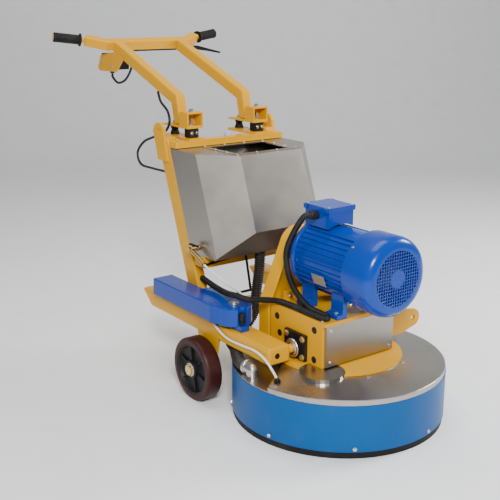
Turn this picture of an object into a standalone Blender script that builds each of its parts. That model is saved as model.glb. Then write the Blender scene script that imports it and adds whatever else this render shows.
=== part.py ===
"""Walk-behind planetary floor grinder, built as separate named sub-parts.

Metres, +Z up. The machine's front (grinding head) points to -Y and its handle to +Y.
Coordinates below are measured from the head's own axis at floor level; the frame empty
shifts everything so that the bounding box stands on the row's origin.
"""
import math

import bmesh
import bpy
from mathutils import Matrix, Vector

# ---- driving dimensions -------------------------------------------------------------
FRAME_SHIFT = -0.5025
GAP = 0.0003

SKIRT_R = 0.370
SKIRT_BOTTOM = 0.022
SKIRT_TOP = 0.181
SHEET = 0.003
COVER_R = 0.368
COVER_LIP_TOP = 0.200
COVER_CONE_R = 0.215
COVER_TOP = 0.2155
BOSS_X = -0.17
BOSS_Y = -0.11
BOSS_R = 0.075
DISC_R = 0.220
DISC_TOP = 0.222
NECK_R = 0.058

PLATE_OUT = 0.161
PLATE_T = 0.012
BOX_FRONT = -0.0975
BOX_REAR = 0.178
BOX_BOTTOM = 0.2225
BOX_TOP = 0.369
MOTOR_PLATE_TOP = 0.381
TILT_Y = 0.030
TILT_Z = 0.262
TILT_PIN_R = 0.015

MOTOR_Z = 0.546
MOTOR_R = 0.118
COWL_R = 0.134
COWL_REAR = -0.145
COWL_FACE = -0.268
MOTOR_REAR = 0.150
SHAFT_R = 0.012
GUARD_FRONT = 0.182
GUARD_REAR = 0.242

PLANETS = 3
PLANET_RING_R = 0.195
PLANET_R = 0.120

ARM_IN = 0.215
ARM_OUT = 0.305
ARM_BOTTOM = 0.232
ARM_TOP = 0.292
AXLE_Y = 0.3635
WHEEL_R = 0.116
WHEEL_IN = 0.314
WHEEL_OUT = 0.380
AXLE_R = 0.0125

WEIGHT_PIN_X = 0.262
WEIGHT_PIN_Y = 0.257
WEIGHT_BOTTOM = 0.306
WEIGHT_TOP = 0.371
PLUNGER_X = 0.270
PLUNGER_Y = 0.197

POST_X = 0.230
POST_W = 0.040
POST_LEAN = 0.375
POST_Y_AT = 0.656
POST_Z_AT = 0.680
POST_HALF_DEPTH = 0.0374
POST_TOP = 0.900
BEAM_TOP = 0.888
TANK_HALF_W = 0.2515
TANK_TOP = 0.862
TANK_BOTTOM = 0.494
TANK_LEAN = 0.36

RAIL_X = 0.153
RAIL_W = 0.040
RAIL_D = 0.045
RAIL_TILT = math.atan2(1.2065 - 1.031, 1.238 - 0.775)
BAR_Y = 1.2583
BAR_Z = 1.2143
BAR = 0.040
GRIP_R = 0.019

SIDES = (("right", -1), ("left", 1))


# ---- scene set-up -------------------------------------------------------------------
def clear_scene():
    for obj in list(bpy.data.objects):
        bpy.data.objects.remove(obj, do_unlink=True)


def new_collection(name):
    collection = bpy.data.collections.new(name)
    bpy.context.scene.collection.children.link(collection)
    return collection


clear_scene()
PARTS = new_collection("floor_grinder")
CUTTERS = new_collection("cutters")
ROOT = bpy.data.objects.new("machine_frame", None)
ROOT.location = (0.0, FRAME_SHIFT, 0.0)
PARTS.objects.link(ROOT)


# ---- materials ----------------------------------------------------------------------
def material(name, color, roughness, metallic=0.0):
    mat = bpy.data.materials.new(name)
    mat.use_nodes = True
    shader = mat.node_tree.nodes["Principled BSDF"]
    shader.inputs["Base Color"].default_value = (*color, 1.0)
    shader.inputs["Roughness"].default_value = roughness
    shader.inputs["Metallic"].default_value = metallic
    mat.diffuse_color = (*color, 1.0)
    return mat


YELLOW = material("yellow_paint", (0.86, 0.50, 0.02), 0.35)
BLUE = material("blue_paint", (0.02, 0.09, 0.48), 0.28)
SKIRT_BLUE = material("skirt_blue", (0.05, 0.16, 0.55), 0.40)
STAINLESS = material("stainless_steel", (0.62, 0.60, 0.57), 0.35, 1.0)
ZINC = material("zinc_steel", (0.70, 0.70, 0.68), 0.30, 1.0)
BLACK = material("black_plastic", (0.02, 0.02, 0.02), 0.50)
RUBBER = material("black_rubber", (0.015, 0.015, 0.015), 0.80)
HOSE = material("hose_grey", (0.10, 0.085, 0.07), 0.60)
CLEAR_HOSE = material("water_hose", (0.82, 0.84, 0.84), 0.30)
BRASS = material("brass", (0.72, 0.50, 0.18), 0.30, 1.0)
TYRE = material("wheel_tread", (0.12, 0.05, 0.03), 0.60)
IRON = material("cast_iron", (0.20, 0.20, 0.20), 0.55, 0.6)


# ---- modelling helpers --------------------------------------------------------------
def place(obj, mat=None, tool=False):
    """Link an object as a part, or as a hidden cutter, under the machine frame."""
    (CUTTERS if tool else PARTS).objects.link(obj)
    obj.parent = ROOT
    if tool:
        obj.hide_render = True
        obj.display_type = "WIRE"
    if mat is not None:
        obj.data.materials.append(mat)
    return obj


def from_bmesh(name, bm, mat, tool=False):
    mesh = bpy.data.meshes.new(name)
    bmesh.ops.recalc_face_normals(bm, faces=bm.faces)
    bm.to_mesh(mesh)
    bm.free()
    return place(bpy.data.objects.new(name, mesh), mat, tool)


def box(name, low, high, mat=None, bevel=0.0, tool=False):
    """A box between two corners, with rounded edges when a bevel width is given."""
    bm = bmesh.new()
    centre = (Vector(low) + Vector(high)) / 2
    size = Vector(high) - Vector(low)
    bmesh.ops.create_cube(bm, size=1.0, matrix=Matrix.Diagonal((*size, 1.0)))
    obj = from_bmesh(name, bm, mat, tool)
    obj.location = centre
    return round_edges(obj, bevel) if bevel else obj


def round_edges(obj, width, segments=2):
    bevel = obj.modifiers.new("edges", "BEVEL")
    bevel.width = width
    bevel.segments = segments
    bevel.limit_method = "ANGLE"
    bevel.angle_limit = math.radians(40)
    return obj


def axis_turn(axis):
    """Rotation that carries local Z onto the named world axis."""
    turns = {"x": Matrix.Rotation(math.pi / 2, 4, "Y"), "z": Matrix.Identity(4),
             "y": Matrix.Rotation(-math.pi / 2, 4, "X")}
    return turns[axis]


def rod(name, start, end, radius, mat=None, sides=24, tool=False, end_radius=None):
    """A cylinder (or cone) between two points."""
    start = Vector(start)
    end = Vector(end)
    bm = bmesh.new()
    bmesh.ops.create_cone(bm, cap_ends=True, segments=sides, radius1=radius,
                          radius2=radius if end_radius is None else end_radius,
                          depth=(end - start).length)
    obj = from_bmesh(name, bm, mat, tool)
    obj.rotation_mode = "QUATERNION"
    obj.rotation_quaternion = (end - start).to_track_quat("Z", "Y")
    obj.location = (start + end) / 2
    smooth(obj)
    return obj


def smooth(obj):
    obj.data.shade_smooth()
    obj.data.set_sharp_from_angle(angle=math.radians(35))


def turned(name, profile, centre, axis, mat=None, steps=40, closed=False, tool=False):
    """A profile of (radius, height) points, top to bottom on its outer side, turned."""
    mesh = bpy.data.meshes.new(name)
    points = [(radius, 0.0, height) for radius, height in profile]
    edges = [(i, i + 1) for i in range(len(points) - 1)]
    if closed:
        edges.append((len(points) - 1, 0))
    mesh.from_pydata(points, edges, [])
    obj = place(bpy.data.objects.new(name, mesh), mat, tool)
    screw = obj.modifiers.new("turn", "SCREW")
    screw.steps = steps
    screw.render_steps = steps
    screw.use_merge_vertices = True
    screw.merge_threshold = 0.00001
    obj.matrix_local = Matrix.Translation(Vector(centre)) @ axis_turn(axis)
    return obj


def arc(centre, radius, start, end, count):
    """Points of an arc, angles in degrees."""
    steps = [math.radians(start + (end - start) * i / (count - 1)) for i in range(count)]
    return [(centre[0] + radius * math.cos(a), centre[1] + radius * math.sin(a)) for a in steps]


PLANES = {
    "xy": Matrix.Identity(4),
    "xz": Matrix.Rotation(math.pi / 2, 4, "X"),
    "yz": Matrix(((0, 0, 1, 0), (1, 0, 0, 0), (0, 1, 0, 0), (0, 0, 0, 1))),
}


def plate(name, outline, plane, middle, thickness, mat=None, holes=(), tool=False):
    """A flat outline in a world plane, its mid-thickness lying at `middle`."""
    curve = bpy.data.curves.new(name, "CURVE")
    curve.dimensions = "2D"
    curve.fill_mode = "BOTH"
    curve.extrude = thickness / 2
    for loop in (outline, *holes):
        spline = curve.splines.new("POLY")
        spline.points.add(len(loop) - 1)
        for point, (u, v) in zip(spline.points, loop):
            point.co = (u, v, 0.0, 1.0)
        spline.use_cyclic_u = True
    source = bpy.data.objects.new(name + "_outline", curve)
    obj = place(bpy.data.objects.new(name, solid_mesh(source, name)), mat, tool)
    normal = {"xy": (0, 0, 1), "xz": (0, 1, 0), "yz": (1, 0, 0)}[plane]
    obj.matrix_local = Matrix.Translation(Vector(normal) * middle) @ PLANES[plane]
    return obj


def solid_mesh(source, name):
    """A clean closed mesh from a curve object, which is then removed."""
    bpy.context.scene.collection.objects.link(source)
    bpy.context.view_layer.update()
    evaluated = source.evaluated_get(bpy.context.evaluated_depsgraph_get())
    mesh = bpy.data.meshes.new_from_object(evaluated)
    mesh.name = name
    bm = bmesh.new()
    bm.from_mesh(mesh)
    bmesh.ops.remove_doubles(bm, verts=bm.verts, dist=0.00001)
    bmesh.ops.recalc_face_normals(bm, faces=bm.faces)
    bmesh.ops.dissolve_limit(bm, angle_limit=math.radians(0.5), verts=bm.verts, edges=bm.edges)
    bm.to_mesh(mesh)
    bm.free()
    bpy.data.objects.remove(source, do_unlink=True)
    return mesh


def smooth_route(points, spacing):
    """Evenly spaced points on a smooth curve through the route's own points."""
    pts = [Vector(p) for p in points]
    pts = [2 * pts[0] - pts[1], *pts, 2 * pts[-1] - pts[-2]]
    fine = []
    for a, b, c, d in zip(pts, pts[1:], pts[2:], pts[3:]):
        for i in range(16):
            t = i / 16
            fine.append(0.5 * (2 * b + (c - a) * t + (2 * a - 5 * b + 4 * c - d) * t * t
                               + (3 * b - a - 3 * c + d) * t ** 3))
    fine.append(pts[-2])
    lengths = [0.0]
    for a, b in zip(fine, fine[1:]):
        lengths.append(lengths[-1] + (b - a).length)
    count = max(2, round(lengths[-1] / spacing))
    route = []
    for i in range(count + 1):
        target = lengths[-1] * i / count
        k = next((j for j in range(1, len(lengths)) if lengths[j] >= target), len(lengths) - 1)
        step = lengths[k] - lengths[k - 1]
        route.append(fine[k - 1].lerp(fine[k], (target - lengths[k - 1]) / step))
    return route


def tube(name, route, radius, mat=None, tool=False):
    """A round solid along a list of points."""
    curve = bpy.data.curves.new(name, "CURVE")
    curve.dimensions = "3D"
    curve.bevel_depth = radius
    curve.bevel_resolution = 2
    curve.use_fill_caps = True
    spline = curve.splines.new("POLY")
    spline.points.add(len(route) - 1)
    for point, co in zip(spline.points, route):
        point.co = (*co, 1.0)
    source = bpy.data.objects.new(name + "_route", curve)
    obj = place(bpy.data.objects.new(name, solid_mesh(source, name)), mat, tool)
    smooth(obj)
    return obj


def combine(target, tool, operation):
    """Join a solid to a part, or cut it out of the part."""
    if tool.name in PARTS.objects:
        PARTS.objects.unlink(tool)
        CUTTERS.objects.link(tool)
        tool.hide_render = True
        tool.display_type = "WIRE"
    boolean = target.modifiers.new(tool.name, "BOOLEAN")
    boolean.operation = operation
    boolean.solver = "EXACT"
    boolean.object = tool
    return target


def add(target, *tools):
    for tool in tools:
        combine(target, tool, "UNION")
    return target


def cut(target, *tools):
    for tool in tools:
        combine(target, tool, "DIFFERENCE")
    return target


def set_origin(obj, point):
    """Put the object's origin on its joint's axis without moving the shape."""
    wanted = Matrix.Translation(Vector(point))
    obj.data.transform(wanted.inverted() @ obj.matrix_basis)
    obj.matrix_basis = wanted
    return obj


# ---- grinding head ------------------------------------------------------------------
def recess_prism(name, inset, low, tool=True):
    """The flat sector cut out of the cover on its near rear side."""
    outline = [(-0.205 + inset, 0.04 - inset), (-0.36 + inset, -0.068 - inset),
               (-0.43, -0.068 - inset), (-0.43, 0.31), (-0.205 + inset, 0.31)]
    return plate(name, outline, "xy", (low + 0.25) / 2, 0.25 - low, tool=tool)


def make_cover():
    outer = [(0, COVER_TOP), (COVER_CONE_R, COVER_TOP), (COVER_R - 0.002, COVER_LIP_TOP),
             (COVER_R, COVER_LIP_TOP - 0.002), (COVER_R, SKIRT_TOP + GAP), (0, SKIRT_TOP + GAP)]
    inner = [(0, COVER_TOP - SHEET), (COVER_CONE_R, COVER_TOP - SHEET),
             (COVER_R - SHEET, COVER_LIP_TOP - SHEET), (COVER_R - SHEET, 0.17), (0, 0.17)]
    cover = turned("head_cover", outer, (0, 0, 0), "z", STAINLESS, 64)
    inside = turned("cover_inside", inner, (0, 0, 0), "z", None, 64, tool=True)
    cut(inside, recess_prism("recess_outer", SHEET, 0.15))
    boss = rod("cover_boss", (BOSS_X, BOSS_Y, 0.2025), (BOSS_X, BOSS_Y, DISC_TOP), BOSS_R,
               sides=32, tool=True)
    cut(cover, recess_prism("recess", 0.0, 0.184), inside)
    add(cover, boss)
    cut(cover, rod("cover_bore", (0, 0, 0.15), (0, 0, 0.3), NECK_R + 0.004, tool=True))


def make_disc():
    middle = (COVER_TOP + GAP + DISC_TOP) / 2
    disc = rod("top_disc", (0, 0, COVER_TOP + GAP), (0, 0, DISC_TOP), DISC_R, YELLOW, 64)
    cut(disc, rod("disc_boss_gap", (BOSS_X, BOSS_Y, middle - 0.02),
                  (BOSS_X, BOSS_Y, middle + 0.02), BOSS_R + 0.002, sides=32, tool=True),
        rod("disc_bore", (0, 0, 0.2), (0, 0, 0.24), NECK_R + 0.004, tool=True))


def make_skirt():
    ring = [(SKIRT_R, SKIRT_TOP), (SKIRT_R, SKIRT_BOTTOM), (SKIRT_R - SHEET, SKIRT_BOTTOM),
            (SKIRT_R - SHEET, SKIRT_TOP)]
    turned("dust_skirt", ring, (0, 0, 0), "z", SKIRT_BLUE, 64, closed=True)
    seal_r = SKIRT_R - SHEET - GAP
    seal = [(seal_r, 0.052), (seal_r, 0.0), (seal_r - 0.006, 0.0), (seal_r - 0.006, 0.052)]
    turned("floor_seal", seal, (0, 0, 0), "z", RUBBER, 64, closed=True)


def make_head_frame():
    """Two side plates, the motor plate, the lifting lug and the tension blocks."""
    frame = box("head_frame", (-PLATE_OUT, -0.11, BOX_TOP), (PLATE_OUT, BOX_REAR, MOTOR_PLATE_TOP),
                YELLOW)
    side_holes = ((0.140, 0.3405), (-0.057, 0.346), (-0.058, 0.242), (0.125, 0.283))
    outline = [(BOX_FRONT, BOX_BOTTOM), (BOX_REAR, BOX_BOTTOM), (BOX_REAR, BOX_TOP + 0.005),
               (BOX_FRONT, BOX_TOP + 0.005)]
    rings = [arc(hole, 0.0125, 0, 337.5, 16) for hole in side_holes]
    for side, sign in SIDES:
        add(frame, plate("side_plate_" + side, outline, "yz", sign * (PLATE_OUT - PLATE_T / 2),
                         PLATE_T, holes=rings, tool=True))
    lug = [(0.155, 0.270), (0.200, 0.270), *arc((0.254, 0.316), 0.032, -60, 90, 9), (0.155, 0.363)]
    add(frame, plate("lifting_lug", lug, "xz", -0.100, 0.012, tool=True,
                     holes=[arc((0.254, 0.316), 0.010, 0, 337.5, 16)]))
    for x in (-0.100, -0.040):
        add(frame, box("tension_block", (x - 0.014, 0.146, 0.375), (x + 0.014, 0.166, 0.415),
                       tool=True))
    return frame


def make_front_cover():
    cover = box("front_cover", (-0.152, -0.1095, 0.227), (0.152, BOX_FRONT - GAP, 0.3685), STAINLESS)
    cut(cover, box("front_cover_inside", (-0.149, -0.1070, 0.230), (0.149, -0.09, 0.3655), tool=True))


def make_bearing(side, sign):
    """Flanged bearing that carries the head on its tilt pin."""
    inner = sign * (PLATE_OUT + GAP)
    bearing = box("tilt_bearing_" + side, (min(inner, inner + sign * 0.012), TILT_Y - 0.054,
                                           TILT_Z - 0.036),
                  (max(inner, inner + sign * 0.012), TILT_Y + 0.054, TILT_Z + 0.054), BLACK)
    add(bearing, rod("bearing_hub_" + side, (sign * 0.165, TILT_Y, TILT_Z),
                     (sign * 0.184, TILT_Y, TILT_Z), 0.034, sides=32, tool=True))
    cut(bearing, rod("bearing_bore_" + side, (sign * 0.150, TILT_Y, TILT_Z),
                     (sign * 0.200, TILT_Y, TILT_Z), TILT_PIN_R + GAP, sides=32, tool=True))


def make_gearbox():
    box_part = box("gearbox", (-0.090, -0.085, DISC_TOP + GAP * 2), (0.090, 0.150, 0.345), IRON)
    add(box_part, rod("gearbox_neck", (0, 0, 0.150), (0, 0, 0.230), NECK_R, sides=32, tool=True))


def make_planets():
    carrier = rod("planet_carrier", (0, 0, 0.105), (0, 0, 0.140), 0.300, IRON, 48)
    add(carrier, rod("carrier_hub", (0, 0, 0.135), (0, 0, 0.150 - GAP), 0.050, tool=True))
    for i in range(PLANETS):
        angle = math.radians(90 + 360 / PLANETS * i)
        x = PLANET_RING_R * math.cos(angle)
        y = PLANET_RING_R * math.sin(angle)
        profile = [(0, 0.105 - GAP), (0.030, 0.105 - GAP), (0.030, 0.062), (PLANET_R, 0.062),
                   (PLANET_R, 0.0), (0.050, 0.0), (0.050, 0.030), (0, 0.030)]
        turned("grinding_disc_%d" % (i + 1), profile, (x, y, 0), "z", IRON, 36)


# ---- motor --------------------------------------------------------------------------
def make_motor():
    """Finned body, fan cowl and feet; the fan turns in the hollow cowl."""
    profile = [(SHAFT_R + 0.001, MOTOR_REAR), (0.070, MOTOR_REAR), (0.112, 0.125), (0.124, 0.118),
               (0.124, 0.106), (MOTOR_R, 0.100), (MOTOR_R, -0.140), (COWL_R, COWL_REAR),
               (COWL_R, -0.235), (0.128, -0.254), (0.105, COWL_FACE), (0.030, COWL_FACE),
               (0.030, COWL_FACE + 0.003), (0.104, COWL_FACE + 0.003), (0.125, -0.252),
               (COWL_R - SHEET, -0.234), (COWL_R - SHEET, -0.165), (SHAFT_R + 0.001, -0.165)]
    motor = turned("motor", profile, (0, 0, MOTOR_Z), "y", BLUE, 48, closed=True)
    for side, sign in SIDES:
        low = min(sign * 0.065, sign * 0.105)
        foot = box("motor_foot_" + side, (low, -0.105, MOTOR_PLATE_TOP + GAP),
                   (low + 0.040, 0.105, 0.470), tool=True)
        cut(foot, box("foot_step_" + side, (min(sign * 0.080, sign * 0.120), -0.120, 0.398),
                      (max(sign * 0.080, sign * 0.120), 0.120, 0.480), tool=True))
        add(motor, foot)
    hub = rod("cowl_hub", (0, COWL_FACE, MOTOR_Z), (0, COWL_FACE + 0.003, MOTOR_Z), 0.031, tool=True)
    add(motor, hub)
    for i in range(6):
        bar = box("grille_slot", (0.036, -0.280, -0.014), (0.088, -0.255, 0.014), tool=True)
        bar.data.transform(Matrix.Translation((0.062, 0, 0)))
        bar.location = (0, -0.2675, MOTOR_Z)
        bar.rotation_euler = (0, math.radians(60 * i), 0)
        cut(motor, bar)


def make_rotor():
    """Motor shaft with its cooling fan and drive pulley."""
    profile = [(0, GUARD_REAR - 0.006), (0.055, GUARD_REAR - 0.006), (0.055, 0.192),
               (SHAFT_R, 0.192), (SHAFT_R, -0.175), (0.100, -0.175), (0.100, -0.180),
               (0.030, -0.186), (0.030, -0.225), (0, -0.225)]
    rotor = turned("motor_rotor", profile, (0, 0, MOTOR_Z), "y", IRON, 32)
    for i in range(8):
        blade = box("fan_blade", (-0.0015, -0.222, 0.020), (0.0015, -0.178, 0.098), tool=True)
        blade.data.transform(Matrix.Translation((0, 0, 0.059)))
        blade.location = (0, -0.200, MOTOR_Z)
        blade.rotation_euler = (0, math.radians(45 * i), 0)
        add(rotor, blade)


def make_terminal_box():
    housing = box("terminal_box", (-0.055, 0.005, 0.640), (0.055, 0.125, 0.718), BLUE)
    lid = box("terminal_lid", (-0.058, 0.002, 0.712), (0.058, 0.128, 0.730), tool=True)
    gland = rod("cable_gland", (-0.050, 0.065, 0.697), (-0.080, 0.065, 0.702), 0.014, sides=16,
                tool=True)
    add(housing, lid, gland)
    cut(housing, rod("motor_seat", (0, -0.1, MOTOR_Z), (0, 0.2, MOTOR_Z), 0.1247, sides=48,
                     tool=True))


def guard_outline(inset):
    top_r = 0.080 - inset
    return [(-0.165 + inset, 0.235 + inset), (0.165 - inset, 0.235 + inset),
            (0.165 - inset, 0.372), (0.150 - inset, 0.400),
            *arc((0, MOTOR_Z), top_r, 14, 166, 13), (-0.150 + inset, 0.400),
            (-0.165 + inset, 0.372)]


def make_belt_guard():
    middle = (GUARD_FRONT + GUARD_REAR) / 2
    guard = plate("belt_guard", guard_outline(0.0), "xz", middle, GUARD_REAR - GUARD_FRONT, YELLOW)
    round_edges(guard, 0.004)
    cut(guard, plate("guard_inside", guard_outline(SHEET * 1.5), "xz", middle - SHEET,
                     GUARD_REAR - GUARD_FRONT, tool=True))


def make_suction_elbow():
    x = -0.328
    y = 0.060
    z = 0.207
    elbow = rod("suction_elbow", (x, y, 0.184 + GAP), (x, y, z), 0.0215, STAINLESS)
    bm = bmesh.new()
    bmesh.ops.create_uvsphere(bm, u_segments=24, v_segments=12, radius=0.0215)
    ball = from_bmesh("elbow_ball", bm, None, True)
    ball.location = (x, y, z)
    add(elbow, ball, rod("elbow_outlet", (x, y, z), (x + 0.003, y + 0.042, z), 0.0213, tool=True))


def make_head():
    make_skirt()
    make_cover()
    make_disc()
    make_head_frame()
    make_front_cover()
    for side, sign in SIDES:
        make_bearing(side, sign)
    make_gearbox()
    make_planets()
    make_motor()
    make_rotor()
    make_terminal_box()
    make_belt_guard()
    make_suction_elbow()


# ---- chassis ------------------------------------------------------------------------
def make_arm(side, sign):
    """Box arm with its tilt pin, axle bracket, stub axle and plunger hole."""
    outline = [(0.0, ARM_BOTTOM), (0.760, ARM_BOTTOM), (0.825, ARM_TOP), (0.0, ARM_TOP)]
    arm = plate("arm_" + side, outline, "yz", sign * (ARM_IN + ARM_OUT) / 2, ARM_OUT - ARM_IN, YELLOW)
    round_edges(arm, 0.008)
    pin = rod("tilt_pin_" + side, (sign * (PLATE_OUT + 0.002), TILT_Y, TILT_Z),
              (sign * (ARM_IN + 0.010), TILT_Y, TILT_Z), TILT_PIN_R, sides=32, tool=True)
    bracket_line = [(0.300, ARM_BOTTOM + 0.005), (0.330, 0.100), *arc((AXLE_Y, 0.116), 0.030, 215,
                                                                      325, 6),
                    (0.397, 0.100), (0.427, ARM_BOTTOM + 0.005)]
    bracket = plate("axle_bracket_" + side, bracket_line, "yz", sign * 0.2975, 0.014, tool=True)
    stub = rod("stub_axle_" + side, (sign * 0.285, AXLE_Y, WHEEL_R),
               (sign * (WHEEL_OUT + 0.004), AXLE_Y, WHEEL_R), AXLE_R, tool=True)
    nut = rod("axle_nut_" + side, (sign * (WHEEL_OUT + GAP), AXLE_Y, WHEEL_R),
              (sign * (WHEEL_OUT + 0.009), AXLE_Y, WHEEL_R), 0.020, sides=6, tool=True)
    hole = rod("index_hole_" + side, (sign * PLUNGER_X, PLUNGER_Y, ARM_TOP - 0.02),
               (sign * PLUNGER_X, PLUNGER_Y, ARM_TOP + 0.02), 0.005, sides=16, tool=True)
    add(arm, pin, bracket, stub, nut)
    cut(arm, hole)


def make_wheel(side, sign):
    profile = [(AXLE_R + GAP, 0.033), (0.034, 0.033), (0.036, 0.026), (0.078, 0.024),
               (0.084, 0.030), (0.108, 0.030), (WHEEL_R, 0.022), (WHEEL_R, -0.022),
               (0.108, -0.030), (0.084, -0.030), (0.078, -0.024), (0.036, -0.026),
               (0.034, -0.033), (AXLE_R + GAP, -0.033)]
    middle = (WHEEL_IN + WHEEL_OUT) / 2
    turned("wheel_" + side, profile, (sign * middle, AXLE_Y, WHEEL_R), "x", TYRE, 40, closed=True)


def post_y(z):
    return POST_Y_AT + POST_LEAN * (z - POST_Z_AT)


def make_post(side, sign):
    """Leaning post with the round-topped ear on its outer face."""
    z_low = ARM_TOP + GAP
    outline = [(post_y(z_low) - POST_HALF_DEPTH, z_low), (post_y(z_low) + POST_HALF_DEPTH, z_low),
               (post_y(POST_TOP) + POST_HALF_DEPTH, POST_TOP),
               (post_y(POST_TOP) - POST_HALF_DEPTH, POST_TOP)]
    post = plate("post_" + side, outline, "yz", sign * POST_X, POST_W, YELLOW)
    round_edges(post, 0.004)
    ear_line = [(0.688, 0.812), (0.750, 0.812), *arc((0.745, 0.915), 0.036, 0, 180, 11)]
    ear_hole = arc((0.745, 0.922), 0.0095, 0, 337.5, 16)
    ear = plate("ear_" + side, ear_line, "yz", sign * 0.2555, 0.013, tool=True, holes=[ear_hole])
    add(post, ear)


def make_weight(side, sign):
    """Swinging ballast weight with its index lug; the origin is on the pivot pin."""
    pin = (WEIGHT_PIN_X, WEIGHT_PIN_Y)
    outline = [*arc(pin, 0.0635, -180, 0, 15), (0.3365, 0.300), (0.3365, 0.685),
               (0.251, 0.685), (0.251, 0.468), (0.199, 0.468), (0.199, 0.300)]
    outline = [(sign * x, y) for x, y in outline]
    weight = plate("weight_" + side, outline, "xy", (WEIGHT_BOTTOM + WEIGHT_TOP) / 2,
                   WEIGHT_TOP - WEIGHT_BOTTOM, BLUE)
    round_edges(weight, 0.003, 1)
    knob_gap = rod("knob_gap_" + side, (sign * PLUNGER_X, PLUNGER_Y, 0.290),
                   (sign * PLUNGER_X, PLUNGER_Y, 0.400), 0.0165, tool=True)
    lug = box("index_lug_" + side, (sign * PLUNGER_X - 0.017, 0.178, 0.294),
              (sign * PLUNGER_X + 0.017, 0.236, 0.312), tool=True)
    plunger_hole = rod("plunger_hole_" + side, (sign * PLUNGER_X, PLUNGER_Y, 0.280),
                       (sign * PLUNGER_X, PLUNGER_Y, 0.320), 0.0048, sides=16, tool=True)
    bore = rod("weight_bore_" + side, (sign * pin[0], pin[1], 0.28), (sign * pin[0], pin[1], 0.39),
               0.0103, tool=True)
    cut(weight, knob_gap)
    add(weight, lug)
    cut(weight, plunger_hole, bore)
    set_origin(weight, (sign * pin[0], pin[1], WEIGHT_BOTTOM))
    head = WEIGHT_TOP + GAP
    profile = [(0, head + 0.012), (0.010, head + 0.012), (0.010, head + 0.004), (0.020, head + 0.003),
               (0.020, head), (0.010, head), (0.010, WEIGHT_BOTTOM - GAP),
               (0.018, WEIGHT_BOTTOM - GAP), (0.018, ARM_TOP + GAP), (0, ARM_TOP + GAP)]
    turned("weight_pin_" + side, profile, (sign * pin[0], pin[1], 0), "z", ZINC, 24)
    knob = [(0, 0.355), (0.009, 0.355), (0.0115, 0.352), (0.0115, 0.330), (0.008, 0.325),
            (0.008, 0.3123), (0.0045, 0.3123), (0.0045, ARM_TOP + GAP), (0, ARM_TOP + GAP)]
    turned("index_plunger_" + side, knob, (sign * PLUNGER_X, PLUNGER_Y, 0), "z", BLACK, 20)


def make_cross_member():
    beam = box("cross_member", (-ARM_IN + GAP, 0.440, ARM_BOTTOM), (ARM_IN - GAP, 0.500, ARM_TOP),
               YELLOW)
    round_edges(beam, 0.005)


def make_top_beam():
    """Cross beam between the posts, with the lower plates of the handle's rubber mounts."""
    reach = POST_X + POST_W / 2
    beam = box("top_beam", (-reach, 0.640, 0.8645), (reach, 0.6865, BEAM_TOP), YELLOW)
    for side, sign in SIDES:
        x = sign * RAIL_X
        add(beam, box("mount_plate_" + side, (x - 0.035, 0.645, BEAM_TOP - 0.004),
                      (x + 0.035, 0.830, BEAM_TOP + 0.006), tool=True))
    return beam


def tank_solid(name, inset, mat=None, tool=False):
    """The leaning tank body, as the outline of its top extruded down the lean."""
    half_w = TANK_HALF_W - inset
    outline = [(-half_w, 0.679 - inset), (half_w, 0.679 - inset), (half_w, 0.507 + inset * 0.6),
               (0.140 - inset * 0.5, 0.3865 + inset), (-0.140 + inset * 0.5, 0.3865 + inset),
               (-half_w, 0.507 + inset * 0.6)]
    height = TANK_TOP - TANK_BOTTOM - 2 * inset
    tank = plate(name, outline, "xy", TANK_TOP - inset - height / 2, height, mat, tool=tool)
    lean = Matrix.Identity(4)
    lean[1][2] = TANK_LEAN
    tank.data.transform(lean)
    tank.location.y -= TANK_LEAN * height / 2 + TANK_LEAN * inset
    under = [(0.100, 0.826), (0.384, TANK_BOTTOM + inset), (0.60, TANK_BOTTOM + inset),
             (0.60, 0.35), (0.10, 0.35)]
    shifted = [(y + inset * 0.77, z + inset * 0.64) for y, z in under]
    return cut(tank, plate(name + "_under", shifted, "yz", 0.0, 0.6, tool=True))


def make_tank():
    tank = tank_solid("water_tank", 0.0, STAINLESS)
    rim = box("filler_rim", (-0.145, 0.405, TANK_TOP - 0.001), (0.145, 0.628, TANK_TOP + 0.0015),
              tool=True)
    hole = box("filler_hole", (-0.125, 0.425, 0.80), (0.125, 0.608, 0.90), tool=True)
    add(tank, rim)
    cut(tank, tank_solid("tank_inside", SHEET, tool=True), hole)


def make_tank_support():
    support = box("tank_support", (-POST_X - POST_W / 2, 0.460, 0.446),
                  (POST_X + POST_W / 2, 0.526, 0.4935), YELLOW)
    round_edges(support, 0.004)


def make_tap():
    tap = rod("tap_body", (-TANK_HALF_W - GAP, 0.505, 0.516), (-0.290, 0.505, 0.516), 0.010, BRASS,
              16)
    add(tap, rod("tap_spout", (-0.277, 0.508, 0.516), (-0.275, 0.425, 0.478), 0.0085, sides=16,
                 tool=True),
        rod("tap_stem", (-0.277, 0.505, 0.516), (-0.277, 0.505, 0.532), 0.006, sides=16, tool=True))
    lever = box("tap_lever", (-0.283, 0.460, 0.5323), (-0.271, 0.512, 0.5365), BLACK)
    set_origin(lever, (-0.277, 0.505, 0.5323))


# ---- handle -------------------------------------------------------------------------
def band(points, width):
    """Outline of a constant-width strip along a polyline, mitred at its corners."""
    pts = [Vector(p) for p in points]
    left = []
    right = []
    for i, point in enumerate(pts):
        before = (point - pts[max(i - 1, 0)]).normalized()
        after = (pts[min(i + 1, len(pts) - 1)] - point).normalized()
        if i == 0:
            before = after
        if i == len(pts) - 1:
            after = before
        across = (before + after).normalized().orthogonal()
        reach = width / 2 / max(0.2, across.dot(before.orthogonal()))
        left.append(tuple(point + across * reach))
        right.append(tuple(point - across * reach))
    return left + right[::-1]


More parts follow.
